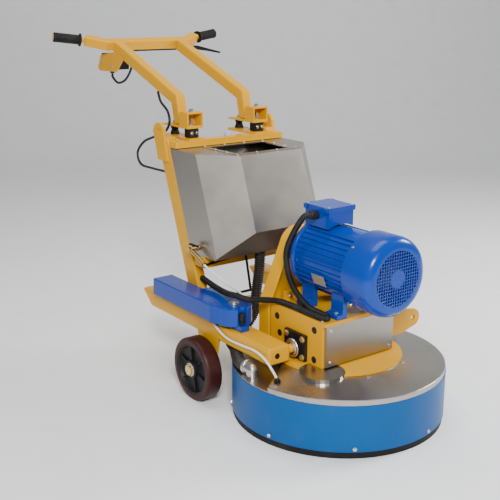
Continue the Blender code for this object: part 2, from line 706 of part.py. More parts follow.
def make_mounts(side, sign):
    """Rubber buffers between the frame and the handle, and the bracket on top of them."""
    x = sign * RAIL_X
    base = BEAM_TOP + 0.006 + GAP
    front = box("front_buffer_" + side, (x - 0.020, 0.662, base), (x + 0.020, 0.702, 0.9297), RUBBER)
    round_edges(front, 0.003)
    waist = [(0, 0.9297), (0.0175, 0.9297), (0.0175, 0.924), (0.013, 0.912), (0.0175, 0.900),
             (0.0175, base), (0, base)]
    turned("rear_buffer_" + side, waist, (x, 0.800, 0), "z", RUBBER, 24)
    bracket = box("mount_bracket_" + side, (x - 0.035, 0.656, 0.930), (x + 0.035, 0.828, 0.936),
                  YELLOW)
    upright = box("mount_box_" + side, (x - 0.035, 0.656, 0.935), (x + 0.035, 0.712, 0.990),
                  tool=True)
    add(bracket, upright)
    cut(bracket, box("mount_shelf_gap_" + side, (x - 0.029, 0.640, 0.941),
                     (x + 0.029, 0.706, 0.984), tool=True))


def make_rail(side, sign):
    foot = 0.775 - (1.031 - 0.9363) * 0.229
    line = [(foot, 0.9363), (0.775, 1.031), (1.238, 1.2065)]
    outline = band(line, RAIL_D)
    outline[0] = (outline[0][0], 0.9363)
    outline[-1] = (outline[-1][0], 0.9363)
    rail = plate("handle_rail_" + side, outline, "yz", sign * RAIL_X, RAIL_W, YELLOW)
    round_edges(rail, 0.005)


def make_crossbar():
    """Square bar across the rails; its ends sweep back to the round grip stubs."""
    line = [(-0.268, 0.052), (-0.195, 0.0), (0.195, 0.0), (0.268, 0.052)]
    crossbar = plate("crossbar", band(line, BAR), "xy", 0.0, BAR, YELLOW)
    round_edges(crossbar, 0.004)
    crossbar.matrix_local = (Matrix.Translation((0, BAR_Y, BAR_Z))
                             @ Matrix.Rotation(RAIL_TILT, 4, "X"))
    for side, sign in SIDES:
        start = Vector((sign * 0.262, 1.303, 1.2305))
        end = Vector((sign * 0.401, 1.337, 1.2475))
        way = (end - start).normalized()
        add(crossbar, rod("grip_stub_" + side, start, end - way * 0.004, 0.011, tool=True))
        reach = (end - start).length
        profile = [(0.0113, reach - 0.006), (0.017, reach - 0.006), (GRIP_R + 0.002, reach - 0.010),
                   (GRIP_R, reach - 0.014), (GRIP_R, 0.034), (0.026, 0.032), (0.026, 0.026),
                   (0.0113, 0.026)]
        grip = turned("grip_" + side, profile, (0, 0, 0), "z", RUBBER, 24, closed=True)
        grip.matrix_local = Matrix.Translation(start) @ way.to_track_quat("Z", "Y").to_matrix().to_4x4()


def make_switch():
    outline = [(1.346, 1.168), (1.232, 1.185), (1.1445, 1.166), (1.211, 1.105), (1.362, 1.102),
               (1.375, 1.117)]
    plate("switch_bracket", outline[::-1], "yz", -0.1760, 0.005, YELLOW)
    switch_box = box("switch_box", (-0.1732, 1.250, 1.110), (-0.095, 1.352, 1.176), BLACK)
    round_edges(switch_box, 0.004)
    add(switch_box, rod("switch_gland", (-0.150, 1.300, 1.112), (-0.150, 1.300, 1.094), 0.010,
                        sides=16, tool=True))
    cut(switch_box, rod("button_well", (-0.135, 1.340, 1.143), (-0.135, 1.360, 1.143), 0.0145,
                        sides=20, tool=True))
    rod("stop_button", (-0.135, 1.346, 1.143), (-0.135, 1.364, 1.143), 0.014, BLACK, 20)


def make_lever():
    """Hand lever under the far grip, on a pin that its clamp holds."""
    clamp = box("lever_clamp", (0.236, 1.276, 1.180), (0.252, 1.304, 1.1965), BLACK)
    add(clamp, box("lever_cheek", (0.250, 1.278, 1.180), (0.274, 1.284, 1.197), tool=True),
        rod("lever_pin", (0.265, 1.282, 1.190), (0.265, 1.300, 1.190), 0.004, sides=16, tool=True))
    outline = [(0.257, 1.183), (0.262, 1.181), (0.330, 1.172), (0.396, 1.160), (0.399, 1.167),
               (0.330, 1.184), (0.272, 1.198), (0.258, 1.198)]
    lever = plate("hand_lever", outline, "xz", 1.2915, 0.012, BLACK,
                  holes=[arc((0.265, 1.190), 0.0045, 0, 337.5, 16)])
    set_origin(lever, (0.265, 1.2915, 1.190))


# ---- hoses and cables ---------------------------------------------------------------
SUCTION_ROUTE = [(-0.3246, 0.1040, 0.2069), (-0.3230, 0.1300, 0.2068), (-0.300, 0.185, 0.2068),
                 (-0.262, 0.250, 0.2068), (-0.232, 0.320, 0.2068), (-0.180, 0.385, 0.200),
                 (-0.110, 0.405, 0.208),
                 (-0.062, 0.405, 0.260), (-0.050, 0.408, 0.340), (-0.034, 0.412, 0.430),
                 (-0.030, 0.414, 0.4900)]
WATER_ROUTE = [(-0.2750, 0.4235, 0.4755), (-0.262, 0.385, 0.452), (-0.235, 0.335, 0.419),
               (-0.180, 0.312, 0.370), (-0.160, 0.315, 0.335), (-0.176, 0.335, 0.307),
               (-0.205, 0.345, 0.299), (-0.260, 0.345, 0.299), (-0.298, 0.330, 0.298),
               (-0.3115, 0.290, 0.282), (-0.3105, 0.230, 0.262), (-0.3105, 0.150, 0.263),
               (-0.3115, 0.066, 0.268), (-0.318, 0.000, 0.258), (-0.320, -0.045, 0.232),
               (-0.318, -0.062, 0.212)]
CONDUIT_ROUTE = [(-0.0840, 0.065, 0.7026), (-0.110, 0.068, 0.698), (-0.130, 0.090, 0.650),
                 (-0.145, 0.109, 0.590), (-0.148, 0.109, 0.536), (-0.142, 0.082, 0.460),
                 (-0.126, 0.025, 0.402), (-0.122, -0.040, 0.3925), (-0.124, -0.075, 0.3925),
                 (-0.136, -0.090, 0.3925), (-0.148, -0.075, 0.3925), (-0.150, -0.030, 0.3925),
                 (-0.150, 0.080, 0.3925), (-0.165, 0.135, 0.396), (-0.211, 0.166, 0.401),
                 (-0.250, 0.190, 0.403), (-0.262, 0.250, 0.404), (-0.247, 0.330, 0.390),
                 (-0.234, 0.420, 0.388), (-0.230, 0.5060, 0.398)]
RAIL_CABLE = [(-0.150, 1.300, 1.0920), (-0.1505, 1.298, 1.078), (-0.153, 1.249, 1.057),
              (-0.153, 1.190, 1.070), (-0.153, 1.150, 1.100), (-0.153, 1.122, 1.1345)]
POST_CABLE = [(-0.163, 0.905, 1.0465), (-0.181, 0.855, 1.014), (-0.194, 0.785, 0.985),
              (-0.1985, 0.765, 0.945), (-0.1985, 0.800, 0.905), (-0.1985, 0.870, 0.880),
              (-0.203, 0.955, 0.8485), (-0.210, 0.998, 0.800), (-0.214, 0.966, 0.758),
              (-0.220, 0.870, 0.756), (-0.230, 0.7290, 0.762)]
LEVER_CABLE = [(0.2340, 1.279, 1.187), (0.180, 1.264, 1.186), (0.000, 1.264, 1.186),
               (-0.070, 1.266, 1.184), (-0.0905, 1.270, 1.165)]
STAY_BAR = [(-0.245, 0.4545, 0.462), (-0.074, 0.4545, 0.480), (-0.066, 0.4545, 0.472),
            (-0.043, 0.4545, 0.328)]


def make_hoses():
    tube("suction_hose", smooth_route(SUCTION_ROUTE, 0.020), 0.0205, HOSE)
    tube("water_hose", smooth_route(WATER_ROUTE, 0.014), 0.004, CLEAR_HOSE)
    tube("supply_conduit", smooth_route(CONDUIT_ROUTE, 0.020), 0.0105, BLACK)
    tube("rail_cable", smooth_route(RAIL_CABLE, 0.012), 0.005, BLACK)
    tube("post_cable", smooth_route(POST_CABLE, 0.014), 0.005, BLACK)
    tube("lever_cable", smooth_route(LEVER_CABLE, 0.015), 0.003, BLACK)
    stay = tube("hose_stay", [Vector(p) for p in STAY_BAR], 0.005, BLACK)
    add(stay, rod("stay_foot", (-0.105, 0.4545, 0.328), (-0.022, 0.4545, 0.328), 0.0052, sides=12,
                  tool=True))


def make_chassis():
    for side, sign in SIDES:
        make_arm(side, sign)
        make_wheel(side, sign)
        make_post(side, sign)
        make_weight(side, sign)
        make_mounts(side, sign)
        make_rail(side, sign)
    make_cross_member()
    make_top_beam()
    make_tank()
    make_tank_support()
    make_tap()
    make_crossbar()
    make_switch()
    make_lever()
    make_hoses()


make_head()
make_chassis()
bpy.context.view_layer.update()
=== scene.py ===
import math

import bmesh
import bpy
from bpy.props import FloatProperty, FloatVectorProperty, IntProperty, PointerProperty
from mathutils import Matrix, Vector


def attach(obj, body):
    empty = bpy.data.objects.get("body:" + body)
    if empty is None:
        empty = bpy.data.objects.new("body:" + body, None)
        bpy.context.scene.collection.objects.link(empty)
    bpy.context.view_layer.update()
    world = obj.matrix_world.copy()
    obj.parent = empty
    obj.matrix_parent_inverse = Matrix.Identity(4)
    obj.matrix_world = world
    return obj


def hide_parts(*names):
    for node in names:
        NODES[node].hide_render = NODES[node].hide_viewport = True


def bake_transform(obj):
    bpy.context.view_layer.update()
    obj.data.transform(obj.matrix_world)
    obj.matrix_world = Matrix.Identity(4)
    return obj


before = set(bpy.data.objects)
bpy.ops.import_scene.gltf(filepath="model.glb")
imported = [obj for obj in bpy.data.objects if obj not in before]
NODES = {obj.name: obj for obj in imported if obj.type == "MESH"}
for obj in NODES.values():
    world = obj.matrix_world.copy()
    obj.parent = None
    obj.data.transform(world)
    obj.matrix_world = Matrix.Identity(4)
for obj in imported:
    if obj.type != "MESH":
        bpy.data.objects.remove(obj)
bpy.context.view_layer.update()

bl_info = {
    "name": "Floor Grinder Finish",
    "version": (1, 0, 0),
    "blender": (4, 5, 0),
    "location": "View3D > Sidebar > Grinder",
    "description": "Finishes, fasteners, hoses and stage for a walk-behind floor grinder",
    "category": "Object",
}

SHIFT = -0.5025
MOTOR_Z = 0.546
HEAD_SEAT = 0.0012
HEAD_TAPER = 0.90
WASHER_THICKNESS = 0.0013
WASHER_LIFT = 0.00066
PLATE_HOLE_X = 0.1609
SIDES = (("right", -1), ("left", 1))


# ---- shader groups -------------------------------------------------------------------
def new_group(name, inputs, outputs):
    """A shader group with named inputs and outputs, and its two end nodes."""
    group = bpy.data.node_groups.new(name, "ShaderNodeTree")
    for label, kind, value in inputs:
        socket = group.interface.new_socket(name=label, in_out="INPUT", socket_type=kind)
        socket.default_value = value
    for label, kind in outputs:
        group.interface.new_socket(name=label, in_out="OUTPUT", socket_type=kind)
    start = group.nodes.new("NodeGroupInput")
    end = group.nodes.new("NodeGroupOutput")
    return group, start, end


def join(tree, start, end):
    """Link one socket to another."""
    tree.links.new(start, end)


def noise(tree, vector, scale, detail=4.0):
    """A noise value; its scale may be a socket or a number."""
    node = tree.nodes.new("ShaderNodeTexNoise")
    node.inputs["Detail"].default_value = detail
    if isinstance(scale, (int, float)):
        node.inputs["Scale"].default_value = scale
    else:
        join(tree, scale, node.inputs["Scale"])
    join(tree, vector, node.inputs["Vector"])
    return node.outputs["Fac"]


def spread(tree, value, low, high):
    """Map a 0 to 1 value onto a range; the range ends may be sockets or numbers."""
    node = tree.nodes.new("ShaderNodeMapRange")
    join(tree, value, node.inputs["Value"])
    for name, end in (("To Min", low), ("To Max", high)):
        if isinstance(end, (int, float)):
            node.inputs[name].default_value = end
        else:
            join(tree, end, node.inputs[name])
    return node.outputs["Result"]


def sharpen(tree, value, low, high):
    """A soft mask of where a value passes between two levels."""
    node = tree.nodes.new("ShaderNodeMapRange")
    node.interpolation_type = "SMOOTHSTEP"
    node.inputs["From Min"].default_value = low
    node.inputs["From Max"].default_value = high
    join(tree, value, node.inputs["Value"])
    return node.outputs["Result"]


def bump(tree, height, strength, distance):
    node = tree.nodes.new("ShaderNodeBump")
    node.inputs["Distance"].default_value = distance
    join(tree, height, node.inputs["Height"])
    if isinstance(strength, (int, float)):
        node.inputs["Strength"].default_value = strength
    else:
        join(tree, strength, node.inputs["Strength"])
    return node.outputs["Normal"]


def mix_color(tree, factor, first, second):
    node = tree.nodes.new("ShaderNodeMix")
    node.data_type = "RGBA"
    for index, value in ((0, factor), (6, first), (7, second)):
        if isinstance(value, bpy.types.NodeSocket):
            join(tree, value, node.inputs[index])
        else:
            node.inputs[index].default_value = value
    return node.outputs[2]


def coat_group():
    """Orange peel, dust in random patches and specks and faint scuffs of sprayed or moulded surfaces."""
    group, start, end = new_group(
        "worn coat",
        [("Color", "NodeSocketColor", (0.8, 0.8, 0.8, 1)), ("Dust", "NodeSocketColor", (0.5, 0.5, 0.5, 1)),
         ("Dust Amount", "NodeSocketFloat", 0.15), ("Roughness", "NodeSocketFloat", 0.3),
         ("Grain", "NodeSocketFloat", 900.0), ("Grain Strength", "NodeSocketFloat", 0.1)],
        [("Color", "NodeSocketColor"), ("Roughness", "NodeSocketFloat"), ("Normal", "NodeSocketVector")])
    place = group.nodes.new("ShaderNodeTexCoord").outputs["Object"]
    clouds = noise(group, place, 9.0)
    specks = sharpen(group, noise(group, place, 160.0, 8.0), 0.60, 0.78)
    patches = sharpen(group, clouds, 0.50, 0.72)
    amount = group.nodes.new("ShaderNodeMath")
    amount.operation = "MULTIPLY_ADD"
    join(group, specks, amount.inputs[0])
    amount.inputs[1].default_value = 0.6
    join(group, patches, amount.inputs[2])
    dusty = group.nodes.new("ShaderNodeMath")
    dusty.operation = "MULTIPLY"
    dusty.use_clamp = True
    join(group, amount.outputs[0], dusty.inputs[0])
    join(group, start.outputs["Dust Amount"], dusty.inputs[1])
    tone = group.nodes.new("ShaderNodeHueSaturation")
    join(group, start.outputs["Color"], tone.inputs["Color"])
    join(group, spread(group, clouds, 0.93, 1.05), tone.inputs["Value"])
    join(group, mix_color(group, dusty.outputs[0], tone.outputs["Color"], start.outputs["Dust"]),
         end.inputs["Color"])
    rough = group.nodes.new("ShaderNodeMath")
    rough.operation = "MULTIPLY_ADD"
    rough.use_clamp = True
    join(group, dusty.outputs[0], rough.inputs[0])
    rough.inputs[1].default_value = 0.9
    join(group, start.outputs["Roughness"], rough.inputs[2])
    join(group, rough.outputs[0], end.inputs["Roughness"])
    grain = noise(group, place, start.outputs["Grain"], 2.0)
    join(group, bump(group, grain, start.outputs["Grain Strength"], 0.0006), end.inputs["Normal"])
    return group


def brushed_group():
    """Long fine scratches along one direction, with handling marks."""
    group, start, end = new_group(
        "brushed metal",
        [("Color", "NodeSocketColor", (0.6, 0.6, 0.6, 1)), ("Roughness", "NodeSocketFloat", 0.3),
         ("Stretch", "NodeSocketVector", (2.0, 2.0, 200.0))],
        [("Color", "NodeSocketColor"), ("Roughness", "NodeSocketFloat"), ("Normal", "NodeSocketVector")])
    place = group.nodes.new("ShaderNodeTexCoord").outputs["Object"]
    stretch = group.nodes.new("ShaderNodeVectorMath")
    stretch.operation = "MULTIPLY"
    join(group, place, stretch.inputs[0])
    join(group, start.outputs["Stretch"], stretch.inputs[1])
    lines = noise(group, stretch.outputs[0], 3.0, 6.0)
    marks = noise(group, place, 5.0, 5.0)
    tone = group.nodes.new("ShaderNodeHueSaturation")
    join(group, start.outputs["Color"], tone.inputs["Color"])
    join(group, spread(group, marks, 0.78, 1.15), tone.inputs["Value"])
    join(group, mix_color(group, spread(group, lines, 0.0, 0.35), tone.outputs["Color"],
                          (0.36, 0.34, 0.31, 1)), end.inputs["Color"])
    rough = group.nodes.new("ShaderNodeMath")
    join(group, start.outputs["Roughness"], rough.inputs[0])
    join(group, spread(group, marks, -0.08, 0.14), rough.inputs[1])
    join(group, rough.outputs[0], end.inputs["Roughness"])
    join(group, bump(group, lines, 0.25, 0.0005), end.inputs["Normal"])
    return group


COAT = coat_group()
BRUSHED = brushed_group()


# ---- materials -----------------------------------------------------------------------
def new_material(name, color, metallic=0.0, coat=0.0):
    mat = bpy.data.materials.new(name)
    mat.use_nodes = True
    mat.diffuse_color = (*color, 1.0)
    shader = mat.node_tree.nodes["Principled BSDF"]
    shader.inputs["Metallic"].default_value = metallic
    shader.inputs["Coat Weight"].default_value = coat
    shader.inputs["Specular IOR Level"].default_value = 0.22
    shader.inputs["Coat Roughness"].default_value = 0.08
    return mat, shader


def wire(mat, group_node, shader):
    join(mat.node_tree, group_node.outputs["Color"], shader.inputs["Base Color"])
    join(mat.node_tree, group_node.outputs["Roughness"], shader.inputs["Roughness"])
    join(mat.node_tree, group_node.outputs["Normal"], shader.inputs["Normal"])


def coated(name, color, roughness, dust=0.12, grain=900.0, strength=0.1, metallic=0.0, coat=0.0,
           dust_color=(0.20, 0.17, 0.13)):
    """Paint, plastic or rubber with grain, tone changes and dust."""
    mat, shader = new_material(name, color, metallic, coat)
    group = mat.node_tree.nodes.new("ShaderNodeGroup")
    group.node_tree = COAT
    group.inputs["Color"].default_value = (*color, 1)
    group.inputs["Dust"].default_value = (*dust_color, 1)
    group.inputs["Dust Amount"].default_value = dust
    group.inputs["Roughness"].default_value = roughness
    group.inputs["Grain"].default_value = grain
    group.inputs["Grain Strength"].default_value = strength
    wire(mat, group, shader)
    return mat


def brushed(name, color, roughness, stretch):
    """Bare sheet metal, brushed along the axis with the smallest stretch."""
    mat, shader = new_material(name, color, 1.0)
    group = mat.node_tree.nodes.new("ShaderNodeGroup")
    group.node_tree = BRUSHED
    group.inputs["Color"].default_value = (*color, 1)
    group.inputs["Roughness"].default_value = roughness
    group.inputs["Stretch"].default_value = stretch
    wire(mat, group, shader)
    return mat


def make_materials(sizes):
    yellow = tuple(sizes.frame_color)
    blue = tuple(sizes.motor_color)
    return {
        "yellow": coated("yellow enamel", yellow, 0.30, 0.03, 700.0, 0.12, coat=0.12),
        "blue": coated("blue enamel", blue, 0.24, 0.02, 800.0, 0.10, coat=0.25),
        "skirt": coated("skirt enamel", tuple(sizes.skirt_color), 0.40, 0.04, 500.0, 0.12),
        "tank": brushed("brushed tank sheet", (0.40, 0.375, 0.34), 0.32, (3.0, 3.0, 60.0)),
        "cover": brushed("brushed cover sheet", (0.46, 0.435, 0.40), 0.28, (60.0, 4.0, 4.0)),
        "polished": brushed("polished pipe", (0.60, 0.58, 0.55), 0.24, (8.0, 8.0, 8.0)),
        "zinc": coated("zinc plate", (0.68, 0.68, 0.65), 0.28, 0.20, 1500.0, 0.1, metallic=1.0),
        "gold_zinc": coated("yellow zinc plate", (0.70, 0.62, 0.36), 0.30, 0.15, 1500.0, 0.1, metallic=1.0),
        "brass": coated("turned brass", (0.70, 0.47, 0.17), 0.28, 0.15, 1500.0, 0.08, metallic=1.0),
        "black": coated("black plastic", (0.008, 0.008, 0.009), 0.42, 0.05, 1200.0, 0.15),
        "enamel_black": coated("black enamel", (0.007, 0.007, 0.008), 0.32, 0.05, 800.0, 0.12),
        "rubber": coated("black rubber", (0.007, 0.007, 0.007), 0.60, 0.06, 1600.0, 0.2),
        "braid": coated("cable sheath", (0.009, 0.009, 0.010), 0.45, 0.08, 1400.0, 0.2),
        "hose": coated("ribbed hose", (0.022, 0.019, 0.016), 0.45, 0.20, 900.0, 0.15),
        "water": coated("water hose", (0.74, 0.77, 0.76), 0.25, 0.04, 900.0, 0.05),
        "tread": coated("wheel tread", (0.040, 0.008, 0.006), 0.42, 0.06, 700.0, 0.2),
        "core": coated("wheel core", (0.008, 0.008, 0.008), 0.48, 0.20, 700.0, 0.2),
        "iron": coated("cast iron", (0.16, 0.155, 0.15), 0.55, 0.25, 500.0, 0.4, metallic=0.6),
        "grey": coated("grey plastic", (0.42, 0.43, 0.43), 0.45, 0.10, 900.0, 0.1),
        "plate": coated("blank plate", (0.60, 0.60, 0.58), 0.35, 0.10, 900.0, 0.08, metallic=0.9),
        "red": coated("red plastic", (0.55, 0.02, 0.015), 0.35, 0.06, 900.0, 0.1),
        "dark": coated("inside shadow", (0.012, 0.012, 0.013), 0.8, 0.1, 900.0, 0.1),
    }


FINISH = {}
BOTH = ("right", "left")
NODE_FINISH = {
    "yellow": ["cross_member", "top_beam", "tank_support", "crossbar", "switch_bracket", "top_disc",
               "head_frame", "belt_guard",
               *[part + "_" + side for side in BOTH
                 for part in ("arm", "post", "mount_bracket", "handle_rail")]],
    "blue": ["motor", "terminal_box", "weight_right", "weight_left"],
    "skirt": ["dust_skirt"],
    "tank": ["water_tank", "front_cover"],
    "cover": ["head_cover"],
    "polished": ["suction_elbow"],
    "zinc": ["weight_pin_right", "weight_pin_left"],
    "brass": ["tap_body"],
    "enamel_black": ["tilt_bearing_right", "tilt_bearing_left", "hose_stay", "lever_clamp",
                     "hand_lever"],
    "black": ["index_plunger_right", "index_plunger_left", "tap_lever", "switch_box"],
    "red": ["stop_button"],
    "rubber": ["floor_seal", "grip_right", "grip_left",
               *[part + "_" + side for side in BOTH for part in ("front_buffer", "rear_buffer")]],
    "iron": ["gearbox", "planet_carrier", "motor_rotor", "grinding_disc_1", "grinding_disc_2",
             "grinding_disc_3"],
    "tread": ["wheel_right", "wheel_left"],
    "hose": ["suction_hose"],
    "water": ["water_hose"],
    "braid": ["supply_conduit", "rail_cable", "post_cable", "lever_cable"],
}


def finish_node(name, mat):
    node = NODES[name]
    node.data.materials.clear()
    node.data.materials.append(mat)


class GrinderSizes(bpy.types.PropertyGroup):
    """Sizes and colours a user would change."""
    frame_color: FloatVectorProperty(name="Frame paint", description="Colour of the steel frame",
                                     subtype="COLOR", default=(0.70, 0.34, 0.0), min=0, max=1)
    motor_color: FloatVectorProperty(name="Motor paint", description="Colour of motor and weights",
                                     subtype="COLOR", default=(0.0, 0.042, 0.33), min=0, max=1)
    skirt_color: FloatVectorProperty(name="Skirt paint", description="Colour of the dust skirt",
                                     subtype="COLOR", default=(0.0, 0.080, 0.28), min=0, max=1)
    fin_count: IntProperty(name="Motor fins", description="Cooling fins round the motor body",
                           default=40, min=8, max=90)
    fin_height: FloatProperty(name="Fin height", description="How far a fin stands off the body",
                              default=0.0065, min=0.001, max=0.02, unit="LENGTH")
    grille_pitch: FloatProperty(name="Grille pitch", description="Spacing of the fan grille's bars",
                                default=0.0105, min=0.004, max=0.03, unit="LENGTH")
    rib_pitch: FloatProperty(name="Hose rib pitch", description="Spacing of the hose's ribs",
                             default=0.0085, min=0.002, max=0.03, unit="LENGTH")
    screw_size: FloatProperty(name="Screw size", description="Thread size of the small screws",
                              default=0.006, min=0.002, max=0.02, unit="LENGTH")


class GRINDER_OT_finishes(bpy.types.Operator):
    """Give every part of the machine its own finish"""
    bl_idname = "grinder.finishes"
    bl_label = "Finishes"

    def execute(self, context):
        FINISH.update(make_materials(context.scene.grinder))
        for finish, names in NODE_FINISH.items():
            for name in names:
                finish_node(name, FINISH[finish])
        return {"FINISHED"}


class GRINDER_OT_stage(bpy.types.Operator):
    """Camera, floor, backdrop and soft lights"""
    bl_idname = "grinder.stage"
    bl_label = "Stage"

    def execute(self, context):
        place_camera()
        place_floor()
        place_lights()
        return {"FINISHED"}


def place_camera():
    camera = bpy.data.cameras.new("view")
    camera.lens = 64.2
    obj = bpy.data.objects.new("view", camera)
    bpy.context.scene.collection.objects.link(obj)
    obj.location = (-1.9718, -2.1462 + SHIFT, 1.3898)
    obj.rotation_euler = (math.radians(74.4), math.radians(-0.12), math.radians(-36.48))
    bpy.context.scene.camera = obj


def place_floor():
    """Seamless backdrop: floor, bend and wall from one swept line."""
    bend = [(4.2 + 1.5 * math.sin(a), 1.5 - 1.5 * math.cos(a))
            for a in (math.radians(9 * i) for i in range(11))]
    line = [(-5.0, 0.0), *bend, (5.7, 6.0)]
    bm = bmesh.new()
    rows = [[bm.verts.new((x, y, z)) for y, z in line] for x in (-9.0, 9.0)]
    for i in range(len(line) - 1):
        bm.faces.new((rows[0][i], rows[1][i], rows[1][i + 1], rows[0][i + 1]))
    mesh = bpy.data.meshes.new("backdrop")
    bm.to_mesh(mesh)
    bm.free()
    mesh.transform(Matrix.Rotation(math.radians(-36.48), 4, "Z"))
    mesh.shade_smooth()
    mesh.materials.append(coated("backdrop paper", (0.93, 0.94, 0.94), 0.75, 0.02, 60.0, 0.02))
    obj = bpy.data.objects.new("backdrop", mesh)
    bpy.context.scene.collection.objects.link(obj)


def place_lights():
    """Two large softboxes, left and right of the camera, and a weak overhead one."""
    soft = (("key", (-2.2, -3.2, 2.8), 205, 1.0), ("fill", (3.0, -1.2, 2.2), 110, 1.0),
            ("top", (0.0, 0.3, 3.8), 70, 2.4))
    for name, where, power, size in soft:
        light = bpy.data.lights.new(name, "AREA")
        light.energy = power
        light.size = size
        obj = bpy.data.objects.new(name, light)
        obj.location = where
        obj.rotation_mode = "QUATERNION"
        obj.rotation_quaternion = (Vector((0, 0, 0.5)) - obj.location).to_track_quat("-Z", "Y")
        bpy.context.scene.collection.objects.link(obj)
    world = bpy.data.worlds.new("studio")
    world.use_nodes = True
    world.node_tree.nodes["Background"].inputs["Color"].default_value = (0.93, 0.93, 0.92, 1)
    world.node_tree.nodes["Background"].inputs["Strength"].default_value = 0.32
    bpy.context.scene.world = world


# ---- Geometry Nodes ------------------------------------------------------------------
def nodes_tree(name, inputs):
    """An empty Geometry Nodes tree with named inputs; returns it with its end nodes."""
    tree = bpy.data.node_groups.new(name, "GeometryNodeTree")
    tree.interface.new_socket(name="Geometry", in_out="INPUT", socket_type="NodeSocketGeometry")
    for label, kind in inputs:
        tree.interface.new_socket(name=label, in_out="INPUT", socket_type=kind)
    tree.interface.new_socket(name="Geometry", in_out="OUTPUT", socket_type="NodeSocketGeometry")
    return tree, tree.nodes.new("NodeGroupInput"), tree.nodes.new("NodeGroupOutput")


def finish_tree(tree, geometry, start, end):
    """Realize Instances, then Set Material, then the output."""
    realize = tree.nodes.new("GeometryNodeRealizeInstances")
    paint = tree.nodes.new("GeometryNodeSetMaterial")
    join(tree, geometry, realize.inputs[0])
    join(tree, realize.outputs[0], paint.inputs["Geometry"])
    join(tree, start.outputs["Material"], paint.inputs["Material"])
    join(tree, paint.outputs[0], end.inputs["Geometry"])


def screw_tree():
    """A washer and a hexagon or round head at every point, along the point's axis."""
    tree, start, end = nodes_tree("screw heads", [
        ("Head Radius", "NodeSocketFloat"), ("Head Height", "NodeSocketFloat"),
        ("Sides", "NodeSocketInt"), ("Washer Radius", "NodeSocketFloat"),
        ("Material", "NodeSocketMaterial")])
    head = tree.nodes.new("GeometryNodeMeshCone")
    join(tree, start.outputs["Sides"], head.inputs["Vertices"])
    join(tree, start.outputs["Head Radius"], head.inputs["Radius Bottom"])
    slim = tree.nodes.new("ShaderNodeMath")
    slim.operation = "MULTIPLY"
    join(tree, start.outputs["Head Radius"], slim.inputs[0])
    slim.inputs[1].default_value = HEAD_TAPER
    join(tree, slim.outputs[0], head.inputs["Radius Top"])
    join(tree, start.outputs["Head Height"], head.inputs["Depth"])
    move = tree.nodes.new("GeometryNodeTransform")
    move.inputs["Translation"].default_value = (0, 0, HEAD_SEAT)
    join(tree, head.outputs["Mesh"], move.inputs["Geometry"])
    washer = tree.nodes.new("GeometryNodeMeshCylinder")
    washer.inputs["Vertices"].default_value = 20
    join(tree, start.outputs["Washer Radius"], washer.inputs["Radius"])
    washer.inputs["Depth"].default_value = WASHER_THICKNESS
    raise_washer = tree.nodes.new("GeometryNodeTransform")
    raise_washer.inputs["Translation"].default_value = (0, 0, WASHER_LIFT)
    join(tree, washer.outputs["Mesh"], raise_washer.inputs["Geometry"])
    both = tree.nodes.new("GeometryNodeJoinGeometry")
    join(tree, move.outputs[0], both.inputs[0])
    join(tree, raise_washer.outputs[0], both.inputs[0])
    axis = tree.nodes.new("GeometryNodeInputNamedAttribute")
    axis.data_type = "FLOAT_VECTOR"
    axis.inputs["Name"].default_value = "axis"
    turn = tree.nodes.new("FunctionNodeAlignRotationToVector")
    turn.axis = "Z"
    join(tree, axis.outputs["Attribute"], turn.inputs["Vector"])
    scatter = tree.nodes.new("GeometryNodeInstanceOnPoints")
    join(tree, start.outputs["Geometry"], scatter.inputs["Points"])
    join(tree, both.outputs[0], scatter.inputs["Instance"])
    join(tree, turn.outputs[0], scatter.inputs["Rotation"])
    finish_tree(tree, scatter.outputs[0], start, end)
    return tree


def bar_tree():
    """A thin rectangular bar along every edge of the base mesh."""
    tree, start, end = nodes_tree("bars on edges", [
        ("Width", "NodeSocketFloat"), ("Depth", "NodeSocketFloat"), ("Material", "NodeSocketMaterial")])
    to_curve = tree.nodes.new("GeometryNodeMeshToCurve")
    join(tree, start.outputs["Geometry"], to_curve.inputs["Mesh"])
    normal = tree.nodes.new("GeometryNodeSetCurveNormal")
    join(tree, to_curve.outputs[0], normal.inputs["Curve"])
    profile = tree.nodes.new("GeometryNodeCurvePrimitiveQuadrilateral")
    join(tree, start.outputs["Width"], profile.inputs["Width"])
    join(tree, start.outputs["Depth"], profile.inputs["Height"])
    sweep = tree.nodes.new("GeometryNodeCurveToMesh")
    join(tree, normal.outputs[0], sweep.inputs["Curve"])
    join(tree, profile.outputs[0], sweep.inputs["Profile Curve"])
    sweep.inputs["Fill Caps"].default_value = True
    finish_tree(tree, sweep.outputs[0], start, end)
    return tree


